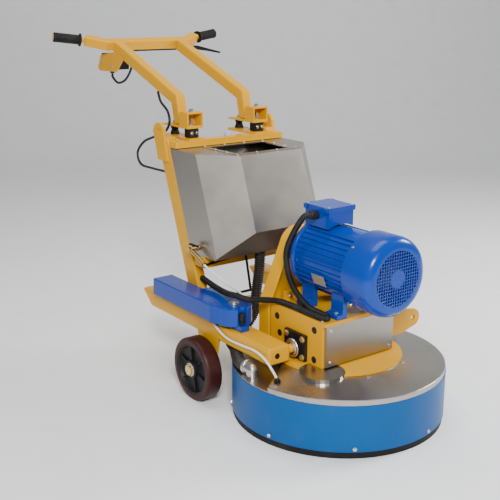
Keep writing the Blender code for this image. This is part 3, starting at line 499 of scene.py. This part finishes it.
def hose_tree():
    """A round hose along a line, with rings of the given pitch and height."""
    tree, start, end = nodes_tree("ribbed hose", [
        ("Radius", "NodeSocketFloat"), ("Rib Pitch", "NodeSocketFloat"),
        ("Rib Height", "NodeSocketFloat"), ("Step", "NodeSocketFloat"),
        ("Material", "NodeSocketMaterial")])
    to_curve = tree.nodes.new("GeometryNodeMeshToCurve")
    join(tree, start.outputs["Geometry"], to_curve.inputs["Mesh"])
    points = tree.nodes.new("GeometryNodeResampleCurve")
    points.mode = "LENGTH"
    join(tree, to_curve.outputs[0], points.inputs["Curve"])
    join(tree, start.outputs["Step"], points.inputs["Length"])
    along = tree.nodes.new("GeometryNodeSplineParameter")
    wave = tree.nodes.new("ShaderNodeMath")
    wave.operation = "DIVIDE"
    join(tree, along.outputs["Length"], wave.inputs[0])
    join(tree, start.outputs["Rib Pitch"], wave.inputs[1])
    turns = tree.nodes.new("ShaderNodeMath")
    turns.operation = "MULTIPLY"
    join(tree, wave.outputs[0], turns.inputs[0])
    turns.inputs[1].default_value = 2 * math.pi
    ring = tree.nodes.new("ShaderNodeMath")
    ring.operation = "COSINE"
    join(tree, turns.outputs[0], ring.inputs[0])
    drop = tree.nodes.new("ShaderNodeMath")
    drop.operation = "SUBTRACT"
    join(tree, ring.outputs[0], drop.inputs[0])
    drop.inputs[1].default_value = 1.0
    rib = tree.nodes.new("ShaderNodeMath")
    rib.operation = "MULTIPLY_ADD"
    join(tree, drop.outputs[0], rib.inputs[0])
    join(tree, start.outputs["Rib Height"], rib.inputs[1])
    join(tree, start.outputs["Radius"], rib.inputs[2])
    circle = tree.nodes.new("GeometryNodeCurvePrimitiveCircle")
    circle.inputs["Resolution"].default_value = 20
    circle.inputs["Radius"].default_value = 1.0
    sweep = tree.nodes.new("GeometryNodeCurveToMesh")
    join(tree, points.outputs[0], sweep.inputs["Curve"])
    join(tree, circle.outputs[0], sweep.inputs["Profile Curve"])
    join(tree, rib.outputs[0], sweep.inputs["Scale"])
    sweep.inputs["Fill Caps"].default_value = True
    smooth = tree.nodes.new("GeometryNodeSetShadeSmooth")
    join(tree, sweep.outputs[0], smooth.inputs["Geometry"])
    finish_tree(tree, smooth.outputs[0], start, end)
    return tree


TREES = {}


def grow(name, mesh, tree_name, values):
    """Run a tree on a base mesh and keep its result as a plain mesh object at the origin."""
    source = bpy.data.objects.new(name + "_base", mesh)
    bpy.context.scene.collection.objects.link(source)
    modifier = source.modifiers.new("grow", "NODES")
    tree = TREES[tree_name]
    modifier.node_group = tree
    sockets = {item.name: item.identifier for item in tree.interface.items_tree
               if item.item_type == "SOCKET" and item.in_out == "INPUT"}
    for label, value in values.items():
        modifier[sockets[label]] = value
    bpy.context.view_layer.update()
    evaluated = source.evaluated_get(bpy.context.evaluated_depsgraph_get())
    result = bpy.data.meshes.new_from_object(evaluated)
    bpy.data.objects.remove(source, do_unlink=True)
    if not result.polygons:
        raise RuntimeError("nothing grew for " + name)
    result.name = name
    return add_piece(name, result)


def add_piece(name, mesh):
    obj = bpy.data.objects.new(name, mesh)
    bpy.context.scene.collection.objects.link(obj)
    return obj


def clean(mesh, dist=0.00002):
    """Merge doubles and turn the faces outwards."""
    bm = bmesh.new()
    bm.from_mesh(mesh)
    bmesh.ops.remove_doubles(bm, verts=bm.verts, dist=dist)
    bmesh.ops.recalc_face_normals(bm, faces=bm.faces)
    bm.to_mesh(mesh)
    bm.free()
    return mesh


def points_mesh(name, places):
    """One loose point for each place, with the screw's axis as an attribute."""
    mesh = bpy.data.meshes.new(name)
    mesh.from_pydata([(x, y + SHIFT, z) for (x, y, z), _ in places], [], [])
    axis = mesh.attributes.new("axis", "FLOAT_VECTOR", "POINT")
    for item, (_, direction) in zip(axis.data, places):
        item.vector = direction
    return mesh


def screws(name, body, places, finish="zinc", size=1.0, sides=6, washer=1.0, height=None):
    """Screw heads on one body at a list of (place, axis)."""
    unit = bpy.context.scene.grinder.screw_size * size
    obj = grow(name, points_mesh(name, places), "screws", {
        "Head Radius": unit * 0.95, "Head Height": height or unit * 0.65, "Sides": sides,
        "Washer Radius": unit * 1.25 * washer, "Material": FINISH[finish]})
    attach(obj, body)
    return obj


def line_mesh(name, points):
    """A line of edges through points given from the head's axis."""
    mesh = bpy.data.meshes.new(name)
    mesh.from_pydata([(x, y + SHIFT, z) for x, y, z in points],
                     [(i, i + 1) for i in range(len(points) - 1)], [])
    return mesh


def smooth_route(points, per_span=12):
    """A smooth curve through a route's own points."""
    pts = [Vector(p) for p in points]
    pts = [2 * pts[0] - pts[1], *pts, 2 * pts[-1] - pts[-2]]
    fine = []
    for a, b, c, d in zip(pts, pts[1:], pts[2:], pts[3:]):
        for i in range(per_span):
            t = i / per_span
            fine.append(0.5 * (2 * b + (c - a) * t + (2 * a - 5 * b + 4 * c - d) * t * t
                               + (3 * b - a - 3 * c + d) * t ** 3))
    return [*fine, pts[-2]]


def block_tree():
    """A small block at every point, with its Z on the axis and its Y along the run."""
    tree, start, end = nodes_tree("blocks", [("Size", "NodeSocketVector"),
                                             ("Material", "NodeSocketMaterial")])
    cube = tree.nodes.new("GeometryNodeMeshCube")
    join(tree, start.outputs["Size"], cube.inputs["Size"])
    rotation = None
    for name, axis, pivot in (("axis", "Z", "AUTO"), ("run", "Y", "Z")):
        read = tree.nodes.new("GeometryNodeInputNamedAttribute")
        read.data_type = "FLOAT_VECTOR"
        read.inputs["Name"].default_value = name
        turn = tree.nodes.new("FunctionNodeAlignRotationToVector")
        turn.axis = axis
        turn.pivot_axis = pivot
        join(tree, read.outputs["Attribute"], turn.inputs["Vector"])
        if rotation is not None:
            join(tree, rotation, turn.inputs["Rotation"])
        rotation = turn.outputs[0]
    scatter = tree.nodes.new("GeometryNodeInstanceOnPoints")
    join(tree, start.outputs["Geometry"], scatter.inputs["Points"])
    join(tree, cube.outputs["Mesh"], scatter.inputs["Instance"])
    join(tree, rotation, scatter.inputs["Rotation"])
    finish_tree(tree, scatter.outputs[0], start, end)
    return tree


def blocks(name, body, places, size, finish):
    """Blocks of one size at a list of (place, axis, run)."""
    mesh = points_mesh(name, [(place, axis) for place, axis, _ in places])
    run = mesh.attributes.new("run", "FLOAT_VECTOR", "POINT")
    for item, (_, _, direction) in zip(run.data, places):
        item.vector = direction
    obj = grow(name, mesh, "blocks", {"Size": size, "Material": FINISH[finish]})
    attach(obj, body)
    return obj


def turned(name, profile, centre, axis, finish, body, steps=48, closed=False):
    """A turned piece: (radius, height) points top to bottom, about a world axis."""
    mesh = bpy.data.meshes.new(name)
    points = [(radius, 0.0, height) for radius, height in profile]
    edges = [(i, i + 1) for i in range(len(points) - 1)]
    if closed:
        edges.append((len(points) - 1, 0))
    mesh.from_pydata(points, edges, [])
    source = bpy.data.objects.new(name + "_base", mesh)
    bpy.context.scene.collection.objects.link(source)
    screw = source.modifiers.new("turn", "SCREW")
    screw.steps = steps
    screw.render_steps = steps
    screw.use_merge_vertices = True
    screw.merge_threshold = 0.00001
    bpy.context.view_layer.update()
    result = bpy.data.meshes.new_from_object(
        source.evaluated_get(bpy.context.evaluated_depsgraph_get()))
    bpy.data.objects.remove(source, do_unlink=True)
    clean(result)
    toward = Vector(axis).to_track_quat("Z", "Y").to_matrix().to_4x4()
    result.transform(Matrix.Translation((centre[0], centre[1] + SHIFT, centre[2])) @ toward)
    result.shade_smooth()
    result.set_sharp_from_angle(angle=math.radians(32))
    result.materials.clear()
    result.materials.append(FINISH[finish])
    obj = add_piece(name, result)
    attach(obj, body)
    return obj


def ring_places(centre_y, z, radius, angles):
    return [((radius * math.cos(math.radians(a)), centre_y + radius * math.sin(math.radians(a)), z),
             (0, 0, 1)) for a in angles]


# ---- motor ---------------------------------------------------------------------------
def motor_shell():
    profile = [(0.013, 0.150), (0.066, 0.150), (0.070, 0.147), (0.108, 0.127), (0.112, 0.124),
               (0.124, 0.120), (0.1247, 0.1185), (0.1247, 0.1065), (0.123, 0.105), (0.1165, 0.103),
               (0.1165, -0.138), (0.126, -0.142), (0.1335, -0.1450), (0.134, -0.148),
               (0.134, -0.232), (0.1325, -0.243), (0.127, -0.255), (0.117, -0.2645),
               (0.105, -0.268), (0.093, -0.2675), (0.092, -0.2660), (0.104, -0.2650),
               (0.125, -0.252), (0.131, -0.234), (0.131, -0.165), (0.013, -0.165)]
    shell = turned("motor_shell", profile, (0, 0, MOTOR_Z), (0, 1, 0), "blue", "head", 96, True)
    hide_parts("motor")
    hub = [(0, -0.2650), (0.030, -0.2650), (0.031, -0.266), (0.030, -0.2678), (0, -0.2678)]
    turned("grille_hub", hub, (0, 0, MOTOR_Z), (0, 1, 0), "blue", "head", 40)


def motor_grille():
    """Square mesh of flat bars across the fan opening."""
    pitch = bpy.context.scene.grinder.grille_pitch
    reach = 0.0945
    count = int(reach / pitch)
    mesh = bpy.data.meshes.new("fan_grille")
    points = []
    for i in range(-count, count + 1):
        offset = i * pitch
        half = math.sqrt(reach ** 2 - offset ** 2)
        points += [(-half, -0.2666 + SHIFT, MOTOR_Z + offset), (half, -0.2666 + SHIFT, MOTOR_Z + offset)]
        points += [(offset, -0.2666 + SHIFT, MOTOR_Z - half), (offset, -0.2666 + SHIFT, MOTOR_Z + half)]
    mesh.from_pydata(points, [(i, i + 1) for i in range(0, len(points), 2)], [])
    grille = grow("fan_grille", mesh, "bars", {"Width": 0.0032, "Depth": 0.0020,
                                               "Material": FINISH["blue"]})
    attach(grille, "head")


def motor_fins():
    """Cooling fins round the body, left out above the feet and under the terminal box."""
    sizes = bpy.context.scene.grinder
    places = []
    for i in range(sizes.fin_count):
        angle = 2 * math.pi * (i + 0.5) / sizes.fin_count
        direction = (math.cos(angle), 0, math.sin(angle))
        if direction[2] > 0.90 or (direction[2] < -0.55 and abs(direction[0]) > 0.45):
            continue
        radius = 0.1155 + sizes.fin_height / 2
        places.append(((direction[0] * radius, -0.018, MOTOR_Z + direction[2] * radius), direction,
                       (0, 1, 0)))
    blocks("motor_fins", "head", places, (0.0026, 0.240, sizes.fin_height + 0.002), "blue")


def motor_details():
    feet = []
    for _, sign in SIDES:
        for y in (-0.085, 0.085):
            feet.append(((sign * 0.092, y, 0.398), (0, 0, 1)))
    for side, sign in SIDES:
        outline = [(0.105, 0.3815), (0.105, 0.397), (0.0815, 0.399), (0.0795, 0.405), (0.0795, 0.470),
                   (0.060, 0.470), (0.060, 0.3815)]
        for end, y in (("front", -0.075), ("rear", 0.075)):
            prism("motor_foot_" + end + "_" + side, [(sign * x, z) for x, z in outline],
                  y - 0.030, y + 0.030, "blue", "head")
    screws("foot_bolts", "head", feet, "zinc", 1.3)
    lid = [((sx * 0.050, y, 0.730), (0, 0, 1)) for sx in (-1, 1) for y in (0.010, 0.120)]
    screws("terminal_screws", "head", lid, "zinc", 0.65, sides=12)
    lugs = [((sx * 0.0585, y, 0.722), (0, 0, 1), (0, 1, 0)) for sx in (-1, 1) for y in (0.012, 0.118)]
    blocks("terminal_lugs", "head", lugs, (0.010, 0.016, 0.015), "blue")
    face = Vector((-0.93, 0, -0.36)).normalized()
    centre = Vector((0, -0.020, MOTOR_Z)) + face * 0.1235
    blocks("motor_plate_blank", "head", [(tuple(centre), tuple(face), (0, 1, 0))],
           (0.040, 0.062, 0.0016), "plate")
    gland = [(0, 0.034), (0.0125, 0.034), (0.0145, 0.031), (0.0145, 0.020), (0.0165, 0.019),
             (0.0165, 0.010), (0.0145, 0.009), (0.0145, 0.0), (0, 0.0)]
    turned("terminal_gland", gland, (-0.0545, 0.065, 0.6975), (-1, 0, 0.16), "black", "head", 12)
    cowl = [((0.1345 * math.cos(a), -0.158, MOTOR_Z + 0.1345 * math.sin(a)),
             (math.cos(a), 0, math.sin(a))) for a in (math.radians(45 + 90 * i) for i in range(4))]
    screws("cowl_screws", "head", cowl, "zinc", 0.6, sides=12)
    shield = [((0.117 * math.cos(a), 0.1255, MOTOR_Z + 0.112 * math.sin(a)), (0, 1, 0))
              for a in (math.radians(45 + 90 * i) for i in range(4))]
    screws("shield_bolts", "head", shield, "zinc", 0.8)


def prism(name, outline, y_low, y_high, finish, body, bevel=0.0012):
    """An outline in X and Z, pushed out along Y, with its edges rounded."""
    bm = bmesh.new()
    face = bm.faces.new([bm.verts.new((x, y_low + SHIFT, z)) for x, z in outline])
    top = bmesh.ops.extrude_face_region(bm, geom=[face])
    moved = [item for item in top["geom"] if isinstance(item, bmesh.types.BMVert)]
    bmesh.ops.translate(bm, verts=moved, vec=(0, y_high - y_low, 0))
    bmesh.ops.recalc_face_normals(bm, faces=bm.faces)
    sharp = [edge for edge in bm.edges if edge.calc_face_angle(0) > 0.5]
    bmesh.ops.bevel(bm, geom=sharp, offset=bevel, segments=2, affect="EDGES", profile=0.5)
    mesh = bpy.data.meshes.new(name)
    bm.to_mesh(mesh)
    bm.free()
    mesh.materials.append(FINISH[finish])
    obj = add_piece(name, mesh)
    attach(obj, body)
    return obj


# ---- head ----------------------------------------------------------------------------
PLATE_HOLES = [(0.140, 0.3405), (-0.057, 0.346), (-0.058, 0.242), (0.125, 0.283)]


def skirt_shell():
    """The rolled skirt, with a small folded edge at top and bottom."""
    wall = [(0.3672, 0.1800), (0.3678, 0.1808), (0.3692, 0.1808), (0.3700, 0.1800),
            (0.3700, 0.0230), (0.3692, 0.0222), (0.3678, 0.0222), (0.3672, 0.0230)]
    shell = turned("skirt_shell", wall, (0, 0, 0), (0, 0, 1), "skirt", "head", 160, True)
    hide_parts("dust_skirt")


def head_fasteners():
    skirt = [((0.3703 * math.cos(a), 0.3703 * math.sin(a), 0.034), (math.cos(a), math.sin(a), 0))
             for a in (math.radians(12 + 45 * i) for i in range(8))]
    screws("skirt_screws", "head", skirt, "zinc", 0.9)
    screws("disc_bolts", "head", ring_places(0, 0.2142, 0.2290, [-107, -60, -15, 29, 75, 120, 207]),
           "zinc", 0.95)
    cover = [((sx * 0.135, -0.1097, z), (0, -1, 0)) for sx in (-1, 1) for z in (0.243, 0.353)]
    screws("front_cover_screws", "head", cover, "zinc", 0.7, sides=12)
    for side, sign in SIDES:
        bolts = [((sign * 0.1735, 0.030 + dy, 0.262 + dz), (sign, 0, 0))
                 for dy in (-0.0415, 0.0415) for dz in (-0.024, 0.040)]
        screws("bearing_bolts_" + side, "head", bolts, "gold_zinc", 1.5)
        hub = [(0.0158, 0.006), (0.024, 0.006), (0.026, 0.004), (0.032, 0.003), (0.0335, 0.0),
               (0.0158, 0.0)]
        turned("bearing_ring_" + side, hub, (sign * 0.1840, 0.030, 0.262), (sign, 0, 0), "zinc",
               "head", 48, True)
        hole = [(0, 0.0012), (0.0116, 0.0012), (0.0121, 0.0), (0, 0.0)]
        for number, (y, z) in enumerate(PLATE_HOLES):
            turned("plate_hole_%s_%d" % (side, number), hole, (sign * PLATE_HOLE_X, y, z), (sign, 0, 0),
                   "dark", "head", 24)
    jack = [((x, y, 0.398), (0, 1 if y > 0.156 else -1, 0)) for x in (-0.1, -0.04) for y in (0.146, 0.166)]
    screws("tension_screws", "head", jack, "zinc", 1.0)
    plate = [((sx * 0.150, y, 0.381), (0, 0, 1)) for sx in (-1, 1) for y in (-0.085,)]
    plate.append(((0.150, 0.150, 0.381), (0, 0, 1)))
    screws("motor_plate_bolts", "head", plate, "zinc", 1.0)
    fitting = [(0, 0.016), (0.0045, 0.016), (0.0075, 0.012), (0.0075, 0.007), (0.011, 0.006),
               (0.011, 0.0), (0, 0.0)]
    turned("water_fitting", fitting, (-0.318, -0.062, 0.2035), (0, 0, 1), "black", "head", 24)
    collar = [(0.0216, 0.010), (0.0245, 0.010), (0.0255, 0.008), (0.0255, 0.002), (0.0245, 0.0),
              (0.0216, 0.0)]
    turned("elbow_clamp", collar, (-0.3255, 0.088, 0.2069), (0.07, 1, 0), "zinc", "head", 40, True)


# ---- chassis -------------------------------------------------------------------------
def wheels():
    for side, sign in SIDES:
        centre = (sign * 0.347, 0.3635, 0.116)
        tread = [(0.094, 0.029), (0.108, 0.0300), (0.1125, 0.0285), (0.1155, 0.024), (0.116, 0.018),
                 (0.116, -0.018), (0.1155, -0.024), (0.1125, -0.0285), (0.108, -0.030), (0.094, -0.029)]
        ring = turned("wheel_tread_" + side, tread, centre, (sign, 0, 0), "tread", "wheel_" + side, 72,
                      True)
        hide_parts("wheel_" + side)
        core = [(0.0130, 0.0325), (0.031, 0.0325), (0.033, 0.031), (0.034, 0.018), (0.040, 0.0145),
                (0.074, 0.0145), (0.080, 0.017), (0.086, 0.0275), (0.0938, 0.028), (0.0938, -0.028),
                (0.086, -0.0275), (0.080, -0.017), (0.040, -0.0145), (0.034, -0.018), (0.033, -0.031),
                (0.0130, -0.0325)]
        turned("wheel_core_" + side, core, centre, (sign, 0, 0), "core", "wheel_" + side, 60, True)
        hub = [(0.0130, 0.0338), (0.022, 0.0338), (0.0245, 0.0332), (0.0245, 0.0300), (0.0130, 0.0300)]
        turned("wheel_hub_" + side, hub, centre, (sign, 0, 0), "grey", "wheel_" + side, 36, True)
        ribs = []
        for i in range(6):
            a = math.radians(60 * i + 20)
            ribs.append(((sign * 0.3635, 0.3635 + 0.057 * math.cos(a), 0.116 + 0.057 * math.sin(a)),
                         (sign, 0, 0), (0, math.cos(a), math.sin(a))))
        blocks("wheel_ribs_" + side, "wheel_" + side, ribs, (0.006, 0.052, 0.012), "core")
        nut = [(0, 0.0090), (0.017, 0.0090), (0.0205, 0.0075), (0.0205, 0.0), (0, 0.0)]
        turned("axle_bolt_" + side, nut, (sign * 0.3805, 0.3635, 0.116), (sign, 0, 0), "gold_zinc",
               "chassis", 6)


def chassis_fasteners():
    rim = [((x, y, 0.8635), (0, 0, 1)) for x in (-0.135, -0.045, 0.045, 0.135) for y in (0.415, 0.619)]
    rim += [((x, y, 0.8635), (0, 0, 1)) for x in (-0.135, 0.135) for y in (0.480, 0.550)]
    screws("filler_bolts", "chassis", rim, "zinc", 0.7, sides=12)
    dome = [(0, 0.017), (0.006, 0.0155), (0.010, 0.012), (0.0115, 0.008), (0.0115, 0.0), (0, 0.0)]
    turned("beam_dome_nut", dome, (0, 0.668, 0.8882), (0, 0, 1), "grey", "chassis", 24)
    for side, sign in SIDES:
        x = sign * 0.153
        shelf = [((x, 0.684, 0.990), (0, 0, 1)), ((x, 0.684, 0.941), (0, 0, 1)),
                 ((x, 0.800, 0.936), (0, 0, 1))]
        screws("mount_nuts_" + side, "chassis", shelf, "zinc", 1.7, height=0.010)
        front = [((x + dx, 0.6618, 0.912), (0, -1, 0)) for dx in (-0.011, 0.011)]
        screws("buffer_bolts_" + side, "chassis", front, "gold_zinc", 0.9)
        stud = [((x, 0.684, 0.950), (0, 0, 1), (0, 1, 0))]
        blocks("mount_stud_" + side, "chassis", stud, (0.008, 0.008, 0.030), "zinc")
        plug = [(0, 0.002), (0.009, 0.002), (0.010, 0.0), (0, 0.0)]
        turned("arm_plug_" + side, plug, (sign * 0.270, 0.0, 0.262), (0, -1, 0), "black", "chassis", 24)
        ribs = line_mesh("grip_line", [(sign * 0.294, 1.3108, 1.2344), (sign * 0.391, 1.3345, 1.2463)])
        grip = grow("grip_ribs_" + side, ribs, "hose", {
            "Radius": 0.0201, "Rib Pitch": 0.0052, "Rib Height": 0.0006, "Step": 0.0007,
            "Material": FINISH["rubber"]})
        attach(grip, "chassis")
        end = [(0, 0.003), (0.010, 0.003), (0.0125, 0.0), (0, 0.0)]
        turned("grip_plug_" + side, end, (sign * 0.3935, 1.3347, 1.2463), (sign * 0.97, 0.24, 0.12),
               "yellow", "chassis", 24)
    bracket = [((-0.1787, y, z), (-1, 0, 0)) for y, z in ((1.250, 1.128), (1.330, 1.140))]
    screws("switch_screws", "chassis", bracket, "zinc", 0.8)
    gland = [(0.0055, 0.016), (0.009, 0.015), (0.0105, 0.012), (0.0105, 0.004), (0.0125, 0.003),
             (0.0125, 0.0), (0.0055, 0.0)]
    turned("switch_gland_nut", gland, (-0.150, 1.300, 1.110), (0, 0, -1), "black", "chassis", 12, True)
    adjuster = [(0.0035, 0.018), (0.0055, 0.017), (0.0055, 0.007), (0.0045, 0.006), (0.0045, 0.0),
                (0.0035, 0.0)]
    turned("lever_adjuster", adjuster, (0.2355, 1.2785, 1.187), (-0.97, -0.22, 0), "zinc", "chassis",
           24, True)


# ---- hoses ---------------------------------------------------------------------------
ROUTES = {
    "suction_hose": ("hose", 0.0215, 0.0020, [
        (-0.3246, 0.1040, 0.2069), (-0.3230, 0.1300, 0.2068), (-0.300, 0.185, 0.2068),
        (-0.262, 0.250, 0.2068), (-0.232, 0.320, 0.2068), (-0.180, 0.385, 0.200),
        (-0.110, 0.405, 0.208), (-0.062, 0.405, 0.260), (-0.050, 0.408, 0.340), (-0.034, 0.412, 0.430),
        (-0.030, 0.414, 0.4900)]),
    "water_hose": ("water", 0.0041, 0.0, [
        (-0.2750, 0.4235, 0.4755), (-0.262, 0.385, 0.452), (-0.235, 0.335, 0.419),
        (-0.180, 0.312, 0.370), (-0.160, 0.315, 0.335), (-0.176, 0.335, 0.307),
        (-0.205, 0.345, 0.299), (-0.260, 0.345, 0.299), (-0.298, 0.330, 0.298),
        (-0.3115, 0.290, 0.282), (-0.3105, 0.230, 0.262), (-0.3105, 0.150, 0.263),
        (-0.3115, 0.066, 0.268), (-0.318, 0.000, 0.258), (-0.320, -0.045, 0.232),
        (-0.318, -0.062, 0.212)]),
    "supply_conduit": ("braid", 0.0110, 0.0007, [
        (-0.0840, 0.065, 0.7026), (-0.110, 0.068, 0.698), (-0.130, 0.090, 0.650),
        (-0.145, 0.109, 0.590), (-0.148, 0.109, 0.536), (-0.142, 0.082, 0.460),
        (-0.126, 0.025, 0.402), (-0.122, -0.040, 0.3925), (-0.124, -0.075, 0.3925),
        (-0.136, -0.090, 0.3925), (-0.148, -0.075, 0.3925), (-0.150, -0.030, 0.3925),
        (-0.150, 0.080, 0.3925), (-0.165, 0.135, 0.396), (-0.211, 0.166, 0.401),
        (-0.250, 0.190, 0.403), (-0.262, 0.250, 0.404), (-0.247, 0.330, 0.390),
        (-0.234, 0.420, 0.388), (-0.230, 0.5060, 0.398)]),
}


def hoses():
    pitch = bpy.context.scene.grinder.rib_pitch
    for name, (finish, radius, rib, route) in ROUTES.items():
        ribbed = rib > 0
        step = {"suction_hose": pitch / 8, "supply_conduit": 0.0007}.get(name, 0.004)
        values = {"Radius": radius, "Rib Pitch": pitch if name == "suction_hose" else 0.0042,
                  "Rib Height": rib if ribbed else 0.0, "Step": step, "Material": FINISH[finish]}
        hose = grow(name + "_skin", line_mesh(name, smooth_route(route)), "hose", values)
        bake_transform(hose)
        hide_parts(name)


# ---- operators -----------------------------------------------------------------------
class GRINDER_OT_hoses(bpy.types.Operator):
    """Suction hose, water hose and motor conduit along their routes"""
    bl_idname = "grinder.hoses"
    bl_label = "Hoses"

    def execute(self, context):
        hoses()
        return {"FINISHED"}


class GRINDER_OT_motor(bpy.types.Operator):
    """Motor shell, fins, fan grille, feet and terminal box details"""
    bl_idname = "grinder.motor"
    bl_label = "Motor"

    def execute(self, context):
        motor_shell()
        motor_grille()
        motor_fins()
        motor_details()
        return {"FINISHED"}


class GRINDER_OT_head(bpy.types.Operator):
    """Screws, bearing rings and fittings of the grinding head"""
    bl_idname = "grinder.head"
    bl_label = "Head fasteners"

    def execute(self, context):
        skirt_shell()
        head_fasteners()
        return {"FINISHED"}


class GRINDER_OT_wheels(bpy.types.Operator):
    """Wheels with tread, core, hub and axle bolt"""
    bl_idname = "grinder.wheels"
    bl_label = "Wheels"

    def execute(self, context):
        wheels()
        return {"FINISHED"}


class GRINDER_OT_chassis(bpy.types.Operator):
    """Tank bolts, rubber mount nuts, grip ribs and switch details"""
    bl_idname = "grinder.chassis"
    bl_label = "Chassis fasteners"

    def execute(self, context):
        chassis_fasteners()
        return {"FINISHED"}


class GRINDER_PT_panel(bpy.types.Panel):
    """Sizes and steps of the floor grinder"""
    bl_label = "Floor Grinder"
    bl_idname = "GRINDER_PT_panel"
    bl_space_type = "VIEW_3D"
    bl_region_type = "UI"
    bl_category = "Grinder"

    def draw(self, context):
        for name in GrinderSizes.__annotations__:
            self.layout.prop(context.scene.grinder, name)
        for step in STEPS:
            self.layout.operator(step.bl_idname)


STEPS = (GRINDER_OT_finishes, GRINDER_OT_stage, GRINDER_OT_hoses, GRINDER_OT_motor, GRINDER_OT_head,
         GRINDER_OT_wheels, GRINDER_OT_chassis)


def register():
    for cls in (GrinderSizes, *STEPS, GRINDER_PT_panel):
        bpy.utils.register_class(cls)
    bpy.types.Scene.grinder = PointerProperty(type=GrinderSizes)


def unregister():
    del bpy.types.Scene.grinder
    for cls in reversed((GrinderSizes, *STEPS, GRINDER_PT_panel)):
        bpy.utils.unregister_class(cls)


def main():
    register()
    TREES.update(screws=screw_tree(), bars=bar_tree(), hose=hose_tree(), blocks=block_tree())
    for step in STEPS:
        group, name = step.bl_idname.split(".")
        getattr(getattr(bpy.ops, group), name)()


if __name__ == "__main__":
    main()
